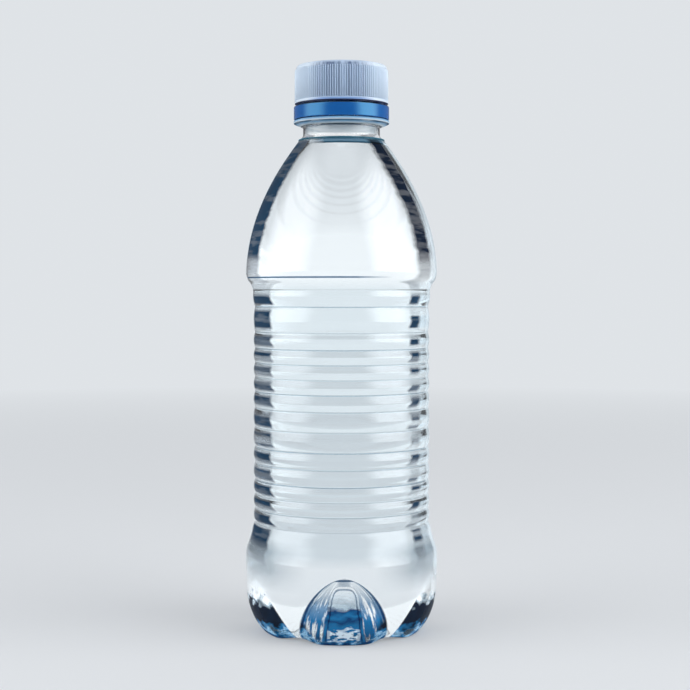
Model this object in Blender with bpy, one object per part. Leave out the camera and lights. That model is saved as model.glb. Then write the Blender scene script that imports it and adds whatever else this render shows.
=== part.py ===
"""A clear water bottle, full and closed, with five feet, a ringed waist and a screw cap.

Each piece is one closed solid at its real size. The origin is on the bottle's axis, on the surface
that the feet stand on, with +Z up and one foot towards -Y. Heights are stacked upwards from the
feet, so a change to one of them carries everything above it.
"""
import math

import bmesh
import bpy
import numpy as np

MM = 0.001

# Fits and mesh fineness
SEGMENTS = 40
SHARP_EDGE = math.radians(35.0)
CLEARANCE = 0.3 * MM

# Blown wall
PET_WALL = 0.35 * MM
BODY_RADIUS = 32.8 * MM

# Five feet, arched at the top, with shallow straps between them that run under the base
FEET = 5
FRONT = math.radians(-90.0)
PAD_INNER_RADIUS = 22.5 * MM
PAD_OUTER_RADIUS = 26.0 * MM
HUB_RADIUS = 6.5 * MM
HUB_RISE = 5.5 * MM
HUB_STEPS = 3
HUB_SPREAD = 0.5
HEEL_HEIGHT = 17.2 * MM
HEEL_FULLNESS = 1.4
HEEL_STEPS = 5
STRAP_RADIUS = 24.0 * MM
STRAP_RISE = 1.0 * MM
STRAP_FULLNESS = 0.7
ARCH_HEIGHT = 23.0 * MM
ARCH_ROUNDNESS = 1.2
ARCH_TAPER = 0.55
FACE_HALF_ANGLE = math.radians(15.0)
FOOT_HALF_ANGLE = math.radians(35.0)

# Plain lower wall and the step in to the waist
LOWER_WALL = 3.2 * MM
LOWER_STEP = 5.0 * MM
LOWER_STEP_DEPTH = 1.7 * MM
LEDGE_RUN = 6.0 * MM
LEDGE_DEPTH = 1.35 * MM

# Rings round the waist, from one valley to the next, with two broad ones among them
RING_RISE = 0.5 * MM
NARROW_RING = 4.9 * MM
WAIST_RING = 5.6 * MM
BROAD_RING = 6.6 * MM
TOP_RING = 8.6 * MM
RING_PITCHES = (
    [NARROW_RING] * 3 + [WAIST_RING] * 2 + [BROAD_RING] * 2
    + [WAIST_RING] + [NARROW_RING] * 3 + [WAIST_RING] + [TOP_RING]
)
BROAD_CREST_SHARE = 0.35

# Bulge above the rings, the step out and the bell of the shoulder
BULGE_RISE = 0.75 * MM
BULGE_RUN = 6.0 * MM
BULGE_CREST_SHARE = 0.55
UPPER_STEP = 5.1 * MM
SHOULDER_HEIGHT = 46.1 * MM
SHOULDER_POWER = 1.95
SHOULDER_STEPS = 8

# Neck finish above the shoulder
BORE_RADIUS = 12.5 * MM
NECK_WALL = 0.7 * MM
NECK_FLARE = 1.2 * MM
NECK_BLEND = 1.5 * MM
NECK_RUN = 2.7 * MM
SUPPORT_RING_WIDTH = 3.0 * MM
SUPPORT_RING_RAMP = 1.4 * MM
SUPPORT_RING_EDGE = 0.7 * MM
SUPPORT_RING_CHAMFER = 0.3 * MM
FINISH_WALL = 1.0 * MM
RIM_CHAMFER = 0.4 * MM
BEAD_WIDTH = 1.1 * MM
BEAD_RISE = 3.0 * MM
BEAD_EDGE = 0.7 * MM
BEAD_RAMP = 1.1 * MM

# Thread of three starts, shared by the neck and the cap
THREAD_STARTS = 3
THREAD_LEAD = 9.0 * MM
THREAD_SPAN = math.radians(200.0)
THREAD_RUN_OUT = math.radians(18.0)
THREAD_END_SHARE = 0.1
THREAD_STEPS = 16
THREAD_HEIGHT = 1.0 * MM
THREAD_ROOT_WIDTH = 1.3 * MM
THREAD_CREST_WIDTH = 0.5 * MM
THREAD_TOP_GAP = 2.0 * MM
THREAD_SINK = 0.3 * MM
THREAD_CLEARANCE = 0.4 * MM
CAP_RIDGE_ROOT_WIDTH = 0.9 * MM
CAP_RIDGE_CREST_WIDTH = 0.4 * MM
CAP_RIDGE_DROP = 1.1 * MM

# Tamper band
BAND_CLEARANCE = 0.6 * MM
BAND_WALL = 1.2 * MM
BAND_HEIGHT = 4.6 * MM
BAND_ROUNDING = 0.4 * MM
LIP_CLEARANCE = 0.5 * MM
LIP_THICKNESS = 0.4 * MM
LIP_SLOPE = 1.2 * MM

# Cap and its seal disc
CAP_GAP = 0.5 * MM
CAP_HEIGHT = 13.6 * MM
CAP_TOP = 1.3 * MM
CAP_WALL = 0.97 * MM
CAP_CLEARANCE = 0.35 * MM
HEM_WIDTH = 0.08 * MM
HEM_HEIGHT = 1.2 * MM
HEM_ROUNDING = 0.25 * MM
RIB_COUNT = 120
RIB_DEPTH = 0.3 * MM
RIB_LENGTH = 10.7 * MM
RIB_ROOT_SINK = 0.1 * MM
CAP_ROUNDING = 1.5 * MM
CAP_ROUNDING_STEPS = 4
LINER_THICKNESS = 0.5 * MM
LINER_CLEARANCE = 0.65 * MM

# Finishes
PET_TINT = (0.93, 0.97, 1.0)
PET_REFRACTION = 1.57
PET_ROUGHNESS = 0.03
WATER_TINT = (0.9, 0.96, 1.0)
WATER_REFRACTION = 1.33
BAND_BLUE = (0.03, 0.2, 0.62)
BAND_ROUGHNESS = 0.3
CAP_PALE = (0.56, 0.67, 0.85)
CAP_ROUGHNESS = 0.45
LINER_WHITE = (0.86, 0.88, 0.9)
LINER_ROUGHNESS = 0.5

# Radii that several pieces share, stacked from the bore outwards and from the body inwards
LEDGE_RADIUS = BODY_RADIUS - LOWER_STEP_DEPTH
RING_VALLEY_RADIUS = LEDGE_RADIUS - LEDGE_DEPTH
RING_CREST_RADIUS = RING_VALLEY_RADIUS + RING_RISE
BULGE_RADIUS = RING_VALLEY_RADIUS + BULGE_RISE
NECK_RADIUS = BORE_RADIUS + NECK_WALL
SHOULDER_TOP_RADIUS = NECK_RADIUS + NECK_FLARE
FINISH_RADIUS = BORE_RADIUS + FINISH_WALL
SUPPORT_RING_RADIUS = FINISH_RADIUS + SUPPORT_RING_WIDTH
BEAD_RADIUS = FINISH_RADIUS + BEAD_WIDTH
THREAD_RADIUS = FINISH_RADIUS + THREAD_HEIGHT
BAND_INNER_RADIUS = BEAD_RADIUS + BAND_CLEARANCE
BAND_RADIUS = BAND_INNER_RADIUS + BAND_WALL
CAP_INNER_RADIUS = THREAD_RADIUS + CAP_CLEARANCE
RIB_ROOT_RADIUS = CAP_INNER_RADIUS + CAP_WALL
RIB_CREST_RADIUS = RIB_ROOT_RADIUS + RIB_DEPTH
HEM_RADIUS = RIB_CREST_RADIUS + HEM_WIDTH
LINER_RADIUS = CAP_INNER_RADIUS - LINER_CLEARANCE

# Heights that several pieces share
LOWER_WALL_TOP = ARCH_HEIGHT + LOWER_WALL
WAIST_BOTTOM = LOWER_WALL_TOP + LOWER_STEP + LEDGE_RUN
WAIST_TOP = WAIST_BOTTOM + sum(RING_PITCHES)
SHOULDER_BOTTOM = WAIST_TOP + BULGE_RUN + UPPER_STEP
SHOULDER_TOP = SHOULDER_BOTTOM + SHOULDER_HEIGHT
RING_UNDERSIDE = SHOULDER_TOP + NECK_BLEND + NECK_RUN
SUPPORT_RING_TOP = RING_UNDERSIDE + SUPPORT_RING_RAMP + SUPPORT_RING_EDGE + SUPPORT_RING_CHAMFER
BAND_BOTTOM = SUPPORT_RING_TOP + CLEARANCE
BAND_TOP = BAND_BOTTOM + BAND_HEIGHT
BEAD_UNDERSIDE = SUPPORT_RING_TOP + BEAD_RISE
CAP_BOTTOM = BAND_TOP + CAP_GAP
CAP_TOP_FACE = CAP_BOTTOM + CAP_HEIGHT
CAP_CEILING = CAP_TOP_FACE - CAP_TOP
LINER_TOP = CAP_CEILING - CLEARANCE
LINER_BOTTOM = LINER_TOP - LINER_THICKNESS
RIM = LINER_BOTTOM - CLEARANCE
THREAD_TOP = RIM - THREAD_TOP_GAP


def smoothstep(value):
    """Ease from 0 to 1, flat at both ends."""
    value = min(max(value, 0.0), 1.0)
    return value * value * (3.0 - 2.0 * value)


def circle(radius, height, segments=SEGMENTS):
    """One level ring of points."""
    angles = np.arange(segments) * (2.0 * math.pi / segments)
    return np.column_stack((radius * np.cos(angles), radius * np.sin(angles), np.full(segments, height)))


def base_stations():
    """Foot point, strap point and the foot's share of its full width, from the hub out to the wall."""
    stations = []
    for step in range(HUB_STEPS + 1):
        share = step / HUB_STEPS
        radius = HUB_RADIUS + share * (PAD_INNER_RADIUS - HUB_RADIUS)
        foot = (radius, HUB_RISE * (1.0 - smoothstep(share)))
        strap = (radius, HUB_RISE - (HUB_RISE - STRAP_RISE) * share ** 2)
        stations.append((foot, strap, HUB_SPREAD + share * (1.0 - HUB_SPREAD)))
    for step in range(HEEL_STEPS + 1):
        turn = 0.5 * math.pi * step / HEEL_STEPS
        height = HEEL_HEIGHT * (1.0 - math.cos(turn))
        bulge = math.sin(turn) ** HEEL_FULLNESS
        foot = (PAD_OUTER_RADIUS + bulge * (BODY_RADIUS - PAD_OUTER_RADIUS), height)
        share = height / ARCH_HEIGHT
        swell = (1.0 - (1.0 - share) ** 2) ** STRAP_FULLNESS
        strap = (
            STRAP_RADIUS + swell * (BODY_RADIUS - STRAP_RADIUS),
            STRAP_RISE + share * (ARCH_HEIGHT - STRAP_RISE),
        )
        stations.append((foot, strap, (1.0 - share ** ARCH_ROUNDNESS) ** ARCH_TAPER))
    stations.append(((BODY_RADIUS, ARCH_HEIGHT), (BODY_RADIUS, ARCH_HEIGHT), 1.0))
    return stations


def base_row(foot, strap, spread):
    """One row round the base: a foot's face, then its flanks down to the straps on both sides."""
    points = []
    spacing = 2.0 * math.pi / FEET
    for column in range(SEGMENTS):
        angle = 2.0 * math.pi * column / SEGMENTS
        off_centre = abs((angle - FRONT + 0.5 * spacing) % spacing - 0.5 * spacing)
        flank = (off_centre / spread - FACE_HALF_ANGLE) / (FOOT_HALF_ANGLE - FACE_HALF_ANGLE)
        foot_share = 1.0 - smoothstep(flank)
        radius = foot_share * foot[0] + (1.0 - foot_share) * strap[0]
        height = foot_share * foot[1] + (1.0 - foot_share) * strap[1]
        points.append((radius * math.cos(angle), radius * math.sin(angle), height))
    return np.array(points)


def waist_outline(ringed):
    """Radius and height of the lower wall, the waist and the bulge, as the wall climbs."""
    outline = [
        (BODY_RADIUS, LOWER_WALL_TOP),
        (LEDGE_RADIUS, LOWER_WALL_TOP + LOWER_STEP),
        (RING_VALLEY_RADIUS, WAIST_BOTTOM),
    ]
    height = WAIST_BOTTOM
    for pitch in RING_PITCHES if ringed else [sum(RING_PITCHES)]:
        middle = height + 0.5 * pitch
        half_crest = 0.5 * pitch * BROAD_CREST_SHARE
        if ringed and pitch in (BROAD_RING, TOP_RING):
            outline += [(RING_CREST_RADIUS, middle - half_crest), (RING_CREST_RADIUS, middle + half_crest)]
        elif ringed:
            outline.append((RING_CREST_RADIUS, middle))
        height += pitch
        outline.append((RING_VALLEY_RADIUS, height))
    outline.append((BULGE_RADIUS, WAIST_TOP + BULGE_RUN * BULGE_CREST_SHARE))
    outline.append((BULGE_RADIUS, WAIST_TOP + BULGE_RUN))
    return outline


def shoulder_outline():
    """Radius and height of the bell, from the widest point up into the neck."""
    outline = []
    for step in range(SHOULDER_STEPS + 1):
        share = step / SHOULDER_STEPS
        drop = (BODY_RADIUS - SHOULDER_TOP_RADIUS) * share ** SHOULDER_POWER
        outline.append((BODY_RADIUS - drop, SHOULDER_BOTTOM + SHOULDER_HEIGHT * share))
    outline.append((NECK_RADIUS, SHOULDER_TOP + NECK_BLEND))
    return outline


def blown_rows(ringed=True):
    """Rows of the blown wall's outside, from the hub under the base up to the neck."""
    rows = [base_row(*station) for station in base_stations()]
    rows += [circle(radius, height) for radius, height in waist_outline(ringed) + shoulder_outline()]
    return rows


def offset_rows(rows, distance):
    """The same rows moved into the wall along its own normals."""
    hub = np.repeat([[0.0, 0.0, HUB_RISE]], SEGMENTS, axis=0)
    moved = []
    for index, row in enumerate(rows):
        below = rows[index - 1] if index else hub
        above = rows[min(index + 1, len(rows) - 1)]
        along = np.roll(row, -1, axis=0) - np.roll(row, 1, axis=0)
        normals = np.cross(along, above - below)
        normals /= np.linalg.norm(normals, axis=1)[:, None]
        moved.append(row - distance * normals)
    return moved


def rows_up_to(rows, level):
    """The rows below a level, and one more row where the wall crosses it."""
    kept = [row for row in rows if row[:, 2].max() < level]
    below, above = kept[-1], rows[len(kept)]
    share = (level - below[0, 2]) / (above[0, 2] - below[0, 2])
    return kept + [below + share * (above - below)]


def new_object(name, mesh_source, material):
    """Turn a bmesh into a named object with its own material, shaded smooth."""
    mesh = bpy.data.meshes.new(name)
    mesh_source.to_mesh(mesh)
    mesh_source.free()
    mesh.materials.append(material)
    mesh.shade_smooth()
    mesh.set_sharp_from_angle(angle=SHARP_EDGE)
    piece = bpy.data.objects.new(name, mesh)
    bpy.context.scene.collection.objects.link(piece)
    return piece


def lofted(rows, first_pole=None, last_pole=None):
    """Skin rows of equal length, each cell split along its shorter diagonal.

    A pole closes an end, and without poles the last row meets the first.
    """
    shape = bmesh.new()
    rings = [[shape.verts.new(point) for point in row] for row in rows]
    pairs = list(zip(rings, rings[1:]))
    if first_pole is None and last_pole is None:
        pairs.append((rings[-1], rings[0]))
    for lower, upper in pairs:
        for column in range(len(lower)):
            following = (column + 1) % len(lower)
            corners = (lower[column], lower[following], upper[following], upper[column])
            split = 0 if (corners[0].co - corners[2].co).length < (corners[1].co - corners[3].co).length else 1
            shape.faces.new((corners[split], corners[split + 1], corners[split + 2]))
            shape.faces.new((corners[split + 2], corners[(split + 3) % 4], corners[split]))
    for pole, ring, inward in ((first_pole, rings[0], True), (last_pole, rings[-1], False)):
        if pole is None:
            continue
        tip = shape.verts.new(pole)
        for column, vertex in enumerate(ring):
            following = ring[(column + 1) % len(ring)]
            shape.faces.new((tip, following, vertex) if inward else (tip, vertex, following))
    return shape


def ridge_section(root_radius, crest_radius, root_width, crest_width, height_share):
    """Four corners of a ridge, as radius and height from its middle, sunk into its wall at the root."""
    sink = THREAD_SINK if crest_radius < root_radius else -THREAD_SINK
    crest = root_radius + height_share * (crest_radius - root_radius)
    crest_half = 0.5 * (root_width + height_share * (crest_width - root_width))
    return [
        (root_radius + sink, -0.5 * root_width),
        (crest, -crest_half),
        (crest, crest_half),
        (root_radius + sink, 0.5 * root_width),
    ]


def thread_ridge(name, root_radius, crest_radius, root_width, crest_width, top, start_angle):
    """One start of a right-hand thread as a closed helical bar, tapered to nothing at both ends."""
    shape = bmesh.new()
    sections = []
    for step in range(THREAD_STEPS + 1):
        turned = THREAD_SPAN * step / THREAD_STEPS
        from_end = min(turned, THREAD_SPAN - turned)
        height_share = THREAD_END_SHARE + (1.0 - THREAD_END_SHARE) * min(1.0, from_end / THREAD_RUN_OUT)
        angle = start_angle + turned
        height = top - THREAD_LEAD * (THREAD_SPAN - turned) / (2.0 * math.pi)
        corners = ridge_section(root_radius, crest_radius, root_width, crest_width, height_share)
        sections.append([
            shape.verts.new((radius * math.cos(angle), radius * math.sin(angle), height + rise))
            for radius, rise in corners
        ])
    for current, following in zip(sections, sections[1:]):
        for corner in range(len(current)):
            beside = (corner + 1) % len(current)
            shape.faces.new((current[corner], current[beside], following[beside], following[corner]))
    shape.faces.new(sections[0])
    shape.faces.new(reversed(sections[-1]))
    bmesh.ops.recalc_face_normals(shape, faces=shape.faces)
    return new_object(name, shape, material("guide", LINER_WHITE, LINER_ROUGHNESS))


def join_by_union(target, tools):
    """Fuse each tool body to the target with a Boolean, then remove the tools."""
    for tool in tools:
        union = target.modifiers.new("union", "BOOLEAN")
        union.operation = "UNION"
        union.solver = "EXACT"
        union.object = tool
    fused = bpy.data.meshes.new_from_object(
        target.evaluated_get(bpy.context.evaluated_depsgraph_get())
    )
    target.modifiers.clear()
    name = target.name
    target.data = fused
    fused.name = name
    for tool in tools:
        bpy.data.objects.remove(tool)


def material(name, colour, roughness, refraction=None):
    """A Principled material of one colour, clear where it has a refraction."""
    finish = bpy.data.materials.new(name)
    finish.use_nodes = True
    shader = finish.node_tree.nodes["Principled BSDF"]
    shader.inputs["Base Color"].default_value = (*colour, 1.0)
    shader.inputs["Roughness"].default_value = roughness
    shader.inputs["Metallic"].default_value = 0.0
    if refraction:
        shader.inputs["Transmission Weight"].default_value = 1.0
        shader.inputs["IOR"].default_value = refraction
    return finish


def neck_outline():
    """Outside of the neck above the blend: support ring, tamper bead, plain finish and rim."""
    return [
        (NECK_RADIUS, RING_UNDERSIDE),
        (SUPPORT_RING_RADIUS, RING_UNDERSIDE + SUPPORT_RING_RAMP),
        (SUPPORT_RING_RADIUS, RING_UNDERSIDE + SUPPORT_RING_RAMP + SUPPORT_RING_EDGE),
        (SUPPORT_RING_RADIUS - SUPPORT_RING_CHAMFER, SUPPORT_RING_TOP),
        (FINISH_RADIUS, SUPPORT_RING_TOP),
        (FINISH_RADIUS, BEAD_UNDERSIDE),
        (BEAD_RADIUS, BEAD_UNDERSIDE),
        (BEAD_RADIUS, BEAD_UNDERSIDE + BEAD_EDGE),
        (FINISH_RADIUS, BEAD_UNDERSIDE + BEAD_EDGE + BEAD_RAMP),
        (FINISH_RADIUS, RIM - RIM_CHAMFER),
        (FINISH_RADIUS - RIM_CHAMFER, RIM),
        (BORE_RADIUS, RIM),
    ]


def build_bottle():
    """The blown bottle: outside rows up to the rim, then the inside rows back down to the hub."""
    outside = blown_rows()
    inside = offset_rows(outside, PET_WALL)
    rows = outside + [circle(radius, height) for radius, height in neck_outline()]
    rows.append(circle(BORE_RADIUS, RING_UNDERSIDE))
    rows += reversed(inside)
    shape = lofted(rows, first_pole=(0.0, 0.0, HUB_RISE), last_pole=(0.0, 0.0, HUB_RISE + PET_WALL))
    bottle = new_object("bottle", shape, material("clear_pet", PET_TINT, PET_ROUGHNESS, PET_REFRACTION))
    ridges = [
        thread_ridge(
            "neck_thread", FINISH_RADIUS, THREAD_RADIUS, THREAD_ROOT_WIDTH, THREAD_CREST_WIDTH,
            THREAD_TOP, 2.0 * math.pi * start / THREAD_STARTS,
        )
        for start in range(THREAD_STARTS)
    ]
    join_by_union(bottle, ridges)
    return bottle


def build_water():
    """The filling, clear of the rings' valleys and the rest of the wall, up to the shoulder's top."""
    inset = PET_WALL + CLEARANCE
    rows = rows_up_to(offset_rows(blown_rows(ringed=False), inset), SHOULDER_TOP)
    shape = lofted(rows, first_pole=(0.0, 0.0, HUB_RISE + inset), last_pole=(0.0, 0.0, SHOULDER_TOP))
    return new_object("water", shape, material("water", WATER_TINT, 0.0, WATER_REFRACTION))


def build_tamper_band():
    """The blue ring that stays on the neck, with an inner lip that catches under the bead."""
    lip_top = BEAD_UNDERSIDE - CLEARANCE
    lip_radius = FINISH_RADIUS + LIP_CLEARANCE
    outline = [
        (BAND_RADIUS, BAND_BOTTOM),
        (BAND_RADIUS, BAND_TOP - BAND_ROUNDING),
        (BAND_RADIUS - BAND_ROUNDING, BAND_TOP),
        (BAND_INNER_RADIUS, BAND_TOP),
        (BAND_INNER_RADIUS, lip_top),
        (lip_radius, lip_top),
        (lip_radius, lip_top - LIP_THICKNESS),
        (BAND_INNER_RADIUS, lip_top - LIP_THICKNESS - LIP_SLOPE),
        (BAND_INNER_RADIUS, BAND_BOTTOM),
    ]
    shape = lofted([circle(radius, height) for radius, height in outline])
    return new_object("tamper_band", shape, material("blue_band", BAND_BLUE, BAND_ROUGHNESS))


def cap_core_outline(core_radius):
    """The cap without its ribs: hem, plain wall, rounded top and hollow inside, from the middle out."""
    outline = [(CAP_INNER_RADIUS, CAP_CEILING), (CAP_INNER_RADIUS, CAP_BOTTOM)]
    outline.append((HEM_RADIUS - HEM_ROUNDING, CAP_BOTTOM))
    outline.append((HEM_RADIUS, CAP_BOTTOM + HEM_ROUNDING))
    outline.append((HEM_RADIUS, CAP_BOTTOM + HEM_HEIGHT))
    outline.append((core_radius, CAP_BOTTOM + HEM_HEIGHT))
    crown_bottom = CAP_TOP_FACE - CAP_ROUNDING
    for step in range(CAP_ROUNDING_STEPS + 1):
        turn = 0.5 * math.pi * step / CAP_ROUNDING_STEPS
        radius = core_radius - CAP_ROUNDING * (1.0 - math.cos(turn))
        outline.append((radius, crown_bottom + CAP_ROUNDING * math.sin(turn)))
    return outline


def rib_sleeve(hole_radius):
    """A sleeve with the fine grip ribs round it, from just inside the hem up to the rounded top."""
    bottom = CAP_BOTTOM + HEM_HEIGHT - RIB_ROOT_SINK
    top = CAP_BOTTOM + HEM_HEIGHT + RIB_LENGTH
    columns = 2 * RIB_COUNT
    angles = np.arange(columns) * (2.0 * math.pi / columns)
    radii = np.where(np.arange(columns) % 2 == 0, RIB_CREST_RADIUS, RIB_ROOT_RADIUS)
    star = np.column_stack((radii * np.cos(angles), radii * np.sin(angles), np.zeros(columns)))
    hole = circle(hole_radius, 0.0)
    shape = bmesh.new()
    loops = []
    for height in (bottom, top):
        for outline in (star, hole):
            ring = [shape.verts.new(point + (0.0, 0.0, height)) for point in outline]
            edges = [shape.edges.new((ring[i], ring[(i + 1) % len(ring)])) for i in range(len(ring))]
            loops.append((ring, edges))
    for lower, upper in ((loops[0], loops[2]), (loops[1], loops[3])):
        bmesh.ops.bridge_loops(shape, edges=lower[1] + upper[1])
    for outer, inner in ((loops[0], loops[1]), (loops[2], loops[3])):
        bmesh.ops.triangle_fill(shape, use_beauty=True, edges=outer[1] + inner[1])
    bmesh.ops.recalc_face_normals(shape, faces=shape.faces)
    return new_object("rib_sleeve", shape, material("guide", LINER_WHITE, LINER_ROUGHNESS))


def build_cap():
    """The screw cap: turned shell, grip ribs outside and the thread's ridges inside."""
    core_radius = RIB_ROOT_RADIUS - RIB_ROOT_SINK
    rows = [circle(radius, height) for radius, height in cap_core_outline(core_radius)]
    shape = lofted(rows, first_pole=(0.0, 0.0, CAP_CEILING), last_pole=(0.0, 0.0, CAP_TOP_FACE))
    cap = new_object("cap", shape, material("pale_cap", CAP_PALE, CAP_ROUGHNESS))
    crest_radius = FINISH_RADIUS + THREAD_CLEARANCE
    tools = [
        thread_ridge(
            "cap_thread", CAP_INNER_RADIUS, crest_radius, CAP_RIDGE_ROOT_WIDTH, CAP_RIDGE_CREST_WIDTH,
            THREAD_TOP - CAP_RIDGE_DROP, 2.0 * math.pi * start / THREAD_STARTS,
        )
        for start in range(THREAD_STARTS)
    ]
    tools.append(rib_sleeve(0.5 * (core_radius + CAP_INNER_RADIUS)))
    join_by_union(cap, tools)
    return cap


def build_liner():
    """The seal disc between the rim and the cap's ceiling."""
    rows = [circle(LINER_RADIUS, LINER_BOTTOM), circle(LINER_RADIUS, LINER_TOP)]
    shape = lofted(rows, first_pole=(0.0, 0.0, LINER_BOTTOM), last_pole=(0.0, 0.0, LINER_TOP))
    return new_object("liner", shape, material("liner", LINER_WHITE, LINER_ROUGHNESS))


def main():
    """Clear the scene, then build each piece."""
    for leftover in list(bpy.data.objects):
        bpy.data.objects.remove(leftover)
    build_bottle()
    build_water()
    build_tamper_band()
    build_cap()
    build_liner()


main()
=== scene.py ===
"""Looks of a clear water bottle, full and closed, with a pale ribbed cap over a blue tamper band.

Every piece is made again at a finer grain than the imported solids, at the same sizes and places, and
rides on the body of the solid that it stands for. Lengths are in metres.
"""
import logging
import math
from dataclasses import dataclass, field
from enum import Enum

import bmesh
import bpy
import numpy as np
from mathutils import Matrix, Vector

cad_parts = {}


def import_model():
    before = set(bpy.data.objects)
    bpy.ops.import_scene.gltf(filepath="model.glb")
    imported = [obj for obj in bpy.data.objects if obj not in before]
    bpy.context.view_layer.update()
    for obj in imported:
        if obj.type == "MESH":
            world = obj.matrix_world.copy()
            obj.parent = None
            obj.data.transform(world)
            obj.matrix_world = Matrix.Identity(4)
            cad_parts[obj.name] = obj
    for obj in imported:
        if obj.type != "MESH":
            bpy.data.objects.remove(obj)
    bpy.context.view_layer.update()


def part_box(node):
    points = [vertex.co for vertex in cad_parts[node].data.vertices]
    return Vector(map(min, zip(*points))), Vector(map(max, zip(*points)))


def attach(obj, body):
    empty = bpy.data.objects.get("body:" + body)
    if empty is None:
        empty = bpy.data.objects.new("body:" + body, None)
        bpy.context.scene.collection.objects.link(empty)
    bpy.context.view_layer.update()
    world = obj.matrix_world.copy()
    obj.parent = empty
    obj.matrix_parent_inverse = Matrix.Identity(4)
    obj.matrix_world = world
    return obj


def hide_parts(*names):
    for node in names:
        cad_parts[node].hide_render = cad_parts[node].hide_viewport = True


MM = 0.001
FULL_TURN = 2.0 * math.pi
OUTER_SKIN = "outer_skin"
WATER_TOP = "water_top"

Outline = list[tuple[float, float]]
Stops = list[tuple[float, tuple]]
Socket = bpy.types.NodeSocket
Feed = Socket | float | tuple | bpy.types.Material

log = logging.getLogger("water_bottle")


class Body(Enum):
    """The moving bodies that pieces ride on."""

    VESSEL = "vessel"
    SEAL = "seal"
    CLOSURE = "closure"


class End(Enum):
    """How a lofted skin ends: at a pole on the axis, or open to be joined round to the other end."""

    POLE = "pole"
    LOOP = "loop"


class Measure(Enum):
    """What a zone of colour on a plastic piece goes by."""

    HEIGHT = "height"
    SLANT = "slant"
    GROOVE = "groove"


def smoothstep(value: np.ndarray) -> np.ndarray:
    """Ease from 0 to 1, flat at both ends."""
    value = np.clip(value, 0.0, 1.0)
    return value * value * (3.0 - 2.0 * value)


def curve_through(points: Outline, steps: int) -> Outline:
    """Run a smooth curve through an outline's points.

    Args:
        points: radius and height of each point, in order.
        steps: how many pieces each stretch between two points becomes.

    Returns:
        The finer outline, with the first and last point kept.
    """
    given = np.array(points)
    padded = np.vstack((2.0 * given[0] - given[1], given, 2.0 * given[-1] - given[-2]))
    fine = []
    for before, start, end, after in zip(padded, padded[1:], padded[2:], padded[3:]):
        for share in np.arange(steps) / steps:
            pull_in = 0.5 * (end - before)
            pull_out = 0.5 * (after - start)
            square, cube = share**2, share**3
            fine.append(
                (2.0 * cube - 3.0 * square + 1.0) * start
                + (cube - 2.0 * square + share) * pull_in
                + (3.0 * square - 2.0 * cube) * end
                + (cube - square) * pull_out
            )
    fine.append(given[-1])
    return [tuple(point) for point in fine]


def rounded(points: Outline, radii: dict[int, float], steps: int = 4, closed: bool = False) -> Outline:
    """Round some corners of an outline.

    Args:
        points: radius and height of each corner, in order.
        radii: corner number to fillet radius.
        steps: how many pieces each fillet has.
        closed: whether the last corner joins the first.

    Returns:
        The outline with its fillets.
    """
    result = []
    count = len(points)
    for index, corner in enumerate(points):
        if index not in radii or not (closed or 0 < index < count - 1):
            result.append(corner)
            continue
        here = Vector(corner)
        back = Vector(points[(index - 1) % count]) - here
        ahead = Vector(points[(index + 1) % count]) - here
        half = 0.5 * back.angle(ahead)
        reach = min(radii[index] / math.tan(half), 0.49 * back.length, 0.49 * ahead.length)
        start = here + back.normalized() * reach
        end = here + ahead.normalized() * reach
        for step in range(steps + 1):
            share = step / steps
            point = (1 - share) ** 2 * start + 2 * share * (1 - share) * here + share**2 * end
            result.append((point.x, point.y))
    return result


def spaced(outline: Outline, spacing: float) -> Outline:
    """Split an outline's long stretches.

    Args:
        outline: radius and height of each point, in order.
        spacing: the longest stretch that is left whole.

    Returns:
        The outline with the points between.
    """
    fine = [outline[0]]
    for start, end in zip(outline, outline[1:]):
        pieces = max(1, math.ceil(math.dist(start, end) / spacing))
        for piece in range(1, pieces + 1):
            share = piece / pieces
            fine.append((start[0] + share * (end[0] - start[0]), start[1] + share * (end[1] - start[1])))
    return fine


def turned_rows(outline: Outline, columns: int) -> np.ndarray:
    """Turn an outline round the upright axis.

    Args:
        outline: radius and height of each point, in order.
        columns: how many points each row has.

    Returns:
        One row for each point of the outline, with one column for each angle.
    """
    angles = np.arange(columns) * FULL_TURN / columns
    radii = np.array([point[0] for point in outline])[:, None]
    heights = np.array([point[1] for point in outline])[:, None]
    return np.stack(
        (radii * np.cos(angles), radii * np.sin(angles), np.broadcast_to(heights, (len(outline), columns))),
        axis=2,
    )


def skin(name: str, rows: np.ndarray, end: End) -> bpy.types.Object:
    """Skin rows of points into one closed mesh that faces outwards.

    Args:
        name: the new object's name.
        rows: array of rows, columns and coordinates.
        end: whether both ends close at a pole, or the last row joins the first.

    Returns:
        The new object, shaded smooth and linked to the scene.
    """
    count, columns = rows.shape[:2]
    index = np.arange(count * columns).reshape(count, columns)
    following = np.roll(index, -1, axis=1)
    lower, upper = index[:-1], index[1:]
    lower_next, upper_next = following[:-1], following[1:]
    points = rows.reshape(-1, 3)
    cells = [np.stack((lower, lower_next, upper_next, upper), axis=2).reshape(-1, 4)]
    if end is End.LOOP:
        cells.append(np.stack((index[-1], following[-1], following[0], index[0]), axis=1))
    faces = [tuple(cell) for group in cells for cell in group.tolist()]
    if end is End.POLE:
        poles = np.array([[0.0, 0.0, rows[0, :, 2].mean()], [0.0, 0.0, rows[-1, :, 2].mean()]])
        first, last = len(points), len(points) + 1
        points = np.vstack((points, poles))
        faces += [(first, int(b), int(a)) for a, b in zip(index[0], following[0])]
        faces += [(last, int(a), int(b)) for a, b in zip(index[-1], following[-1])]
    mesh = bpy.data.meshes.new(name)
    mesh.from_pydata(points.tolist(), [], faces)
    mesh.validate()
    mesh.shade_smooth()
    mesh.set_sharp_from_angle(angle=math.radians(50.0))
    piece = bpy.data.objects.new(name, mesh)
    bpy.context.scene.collection.objects.link(piece)
    return piece


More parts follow.
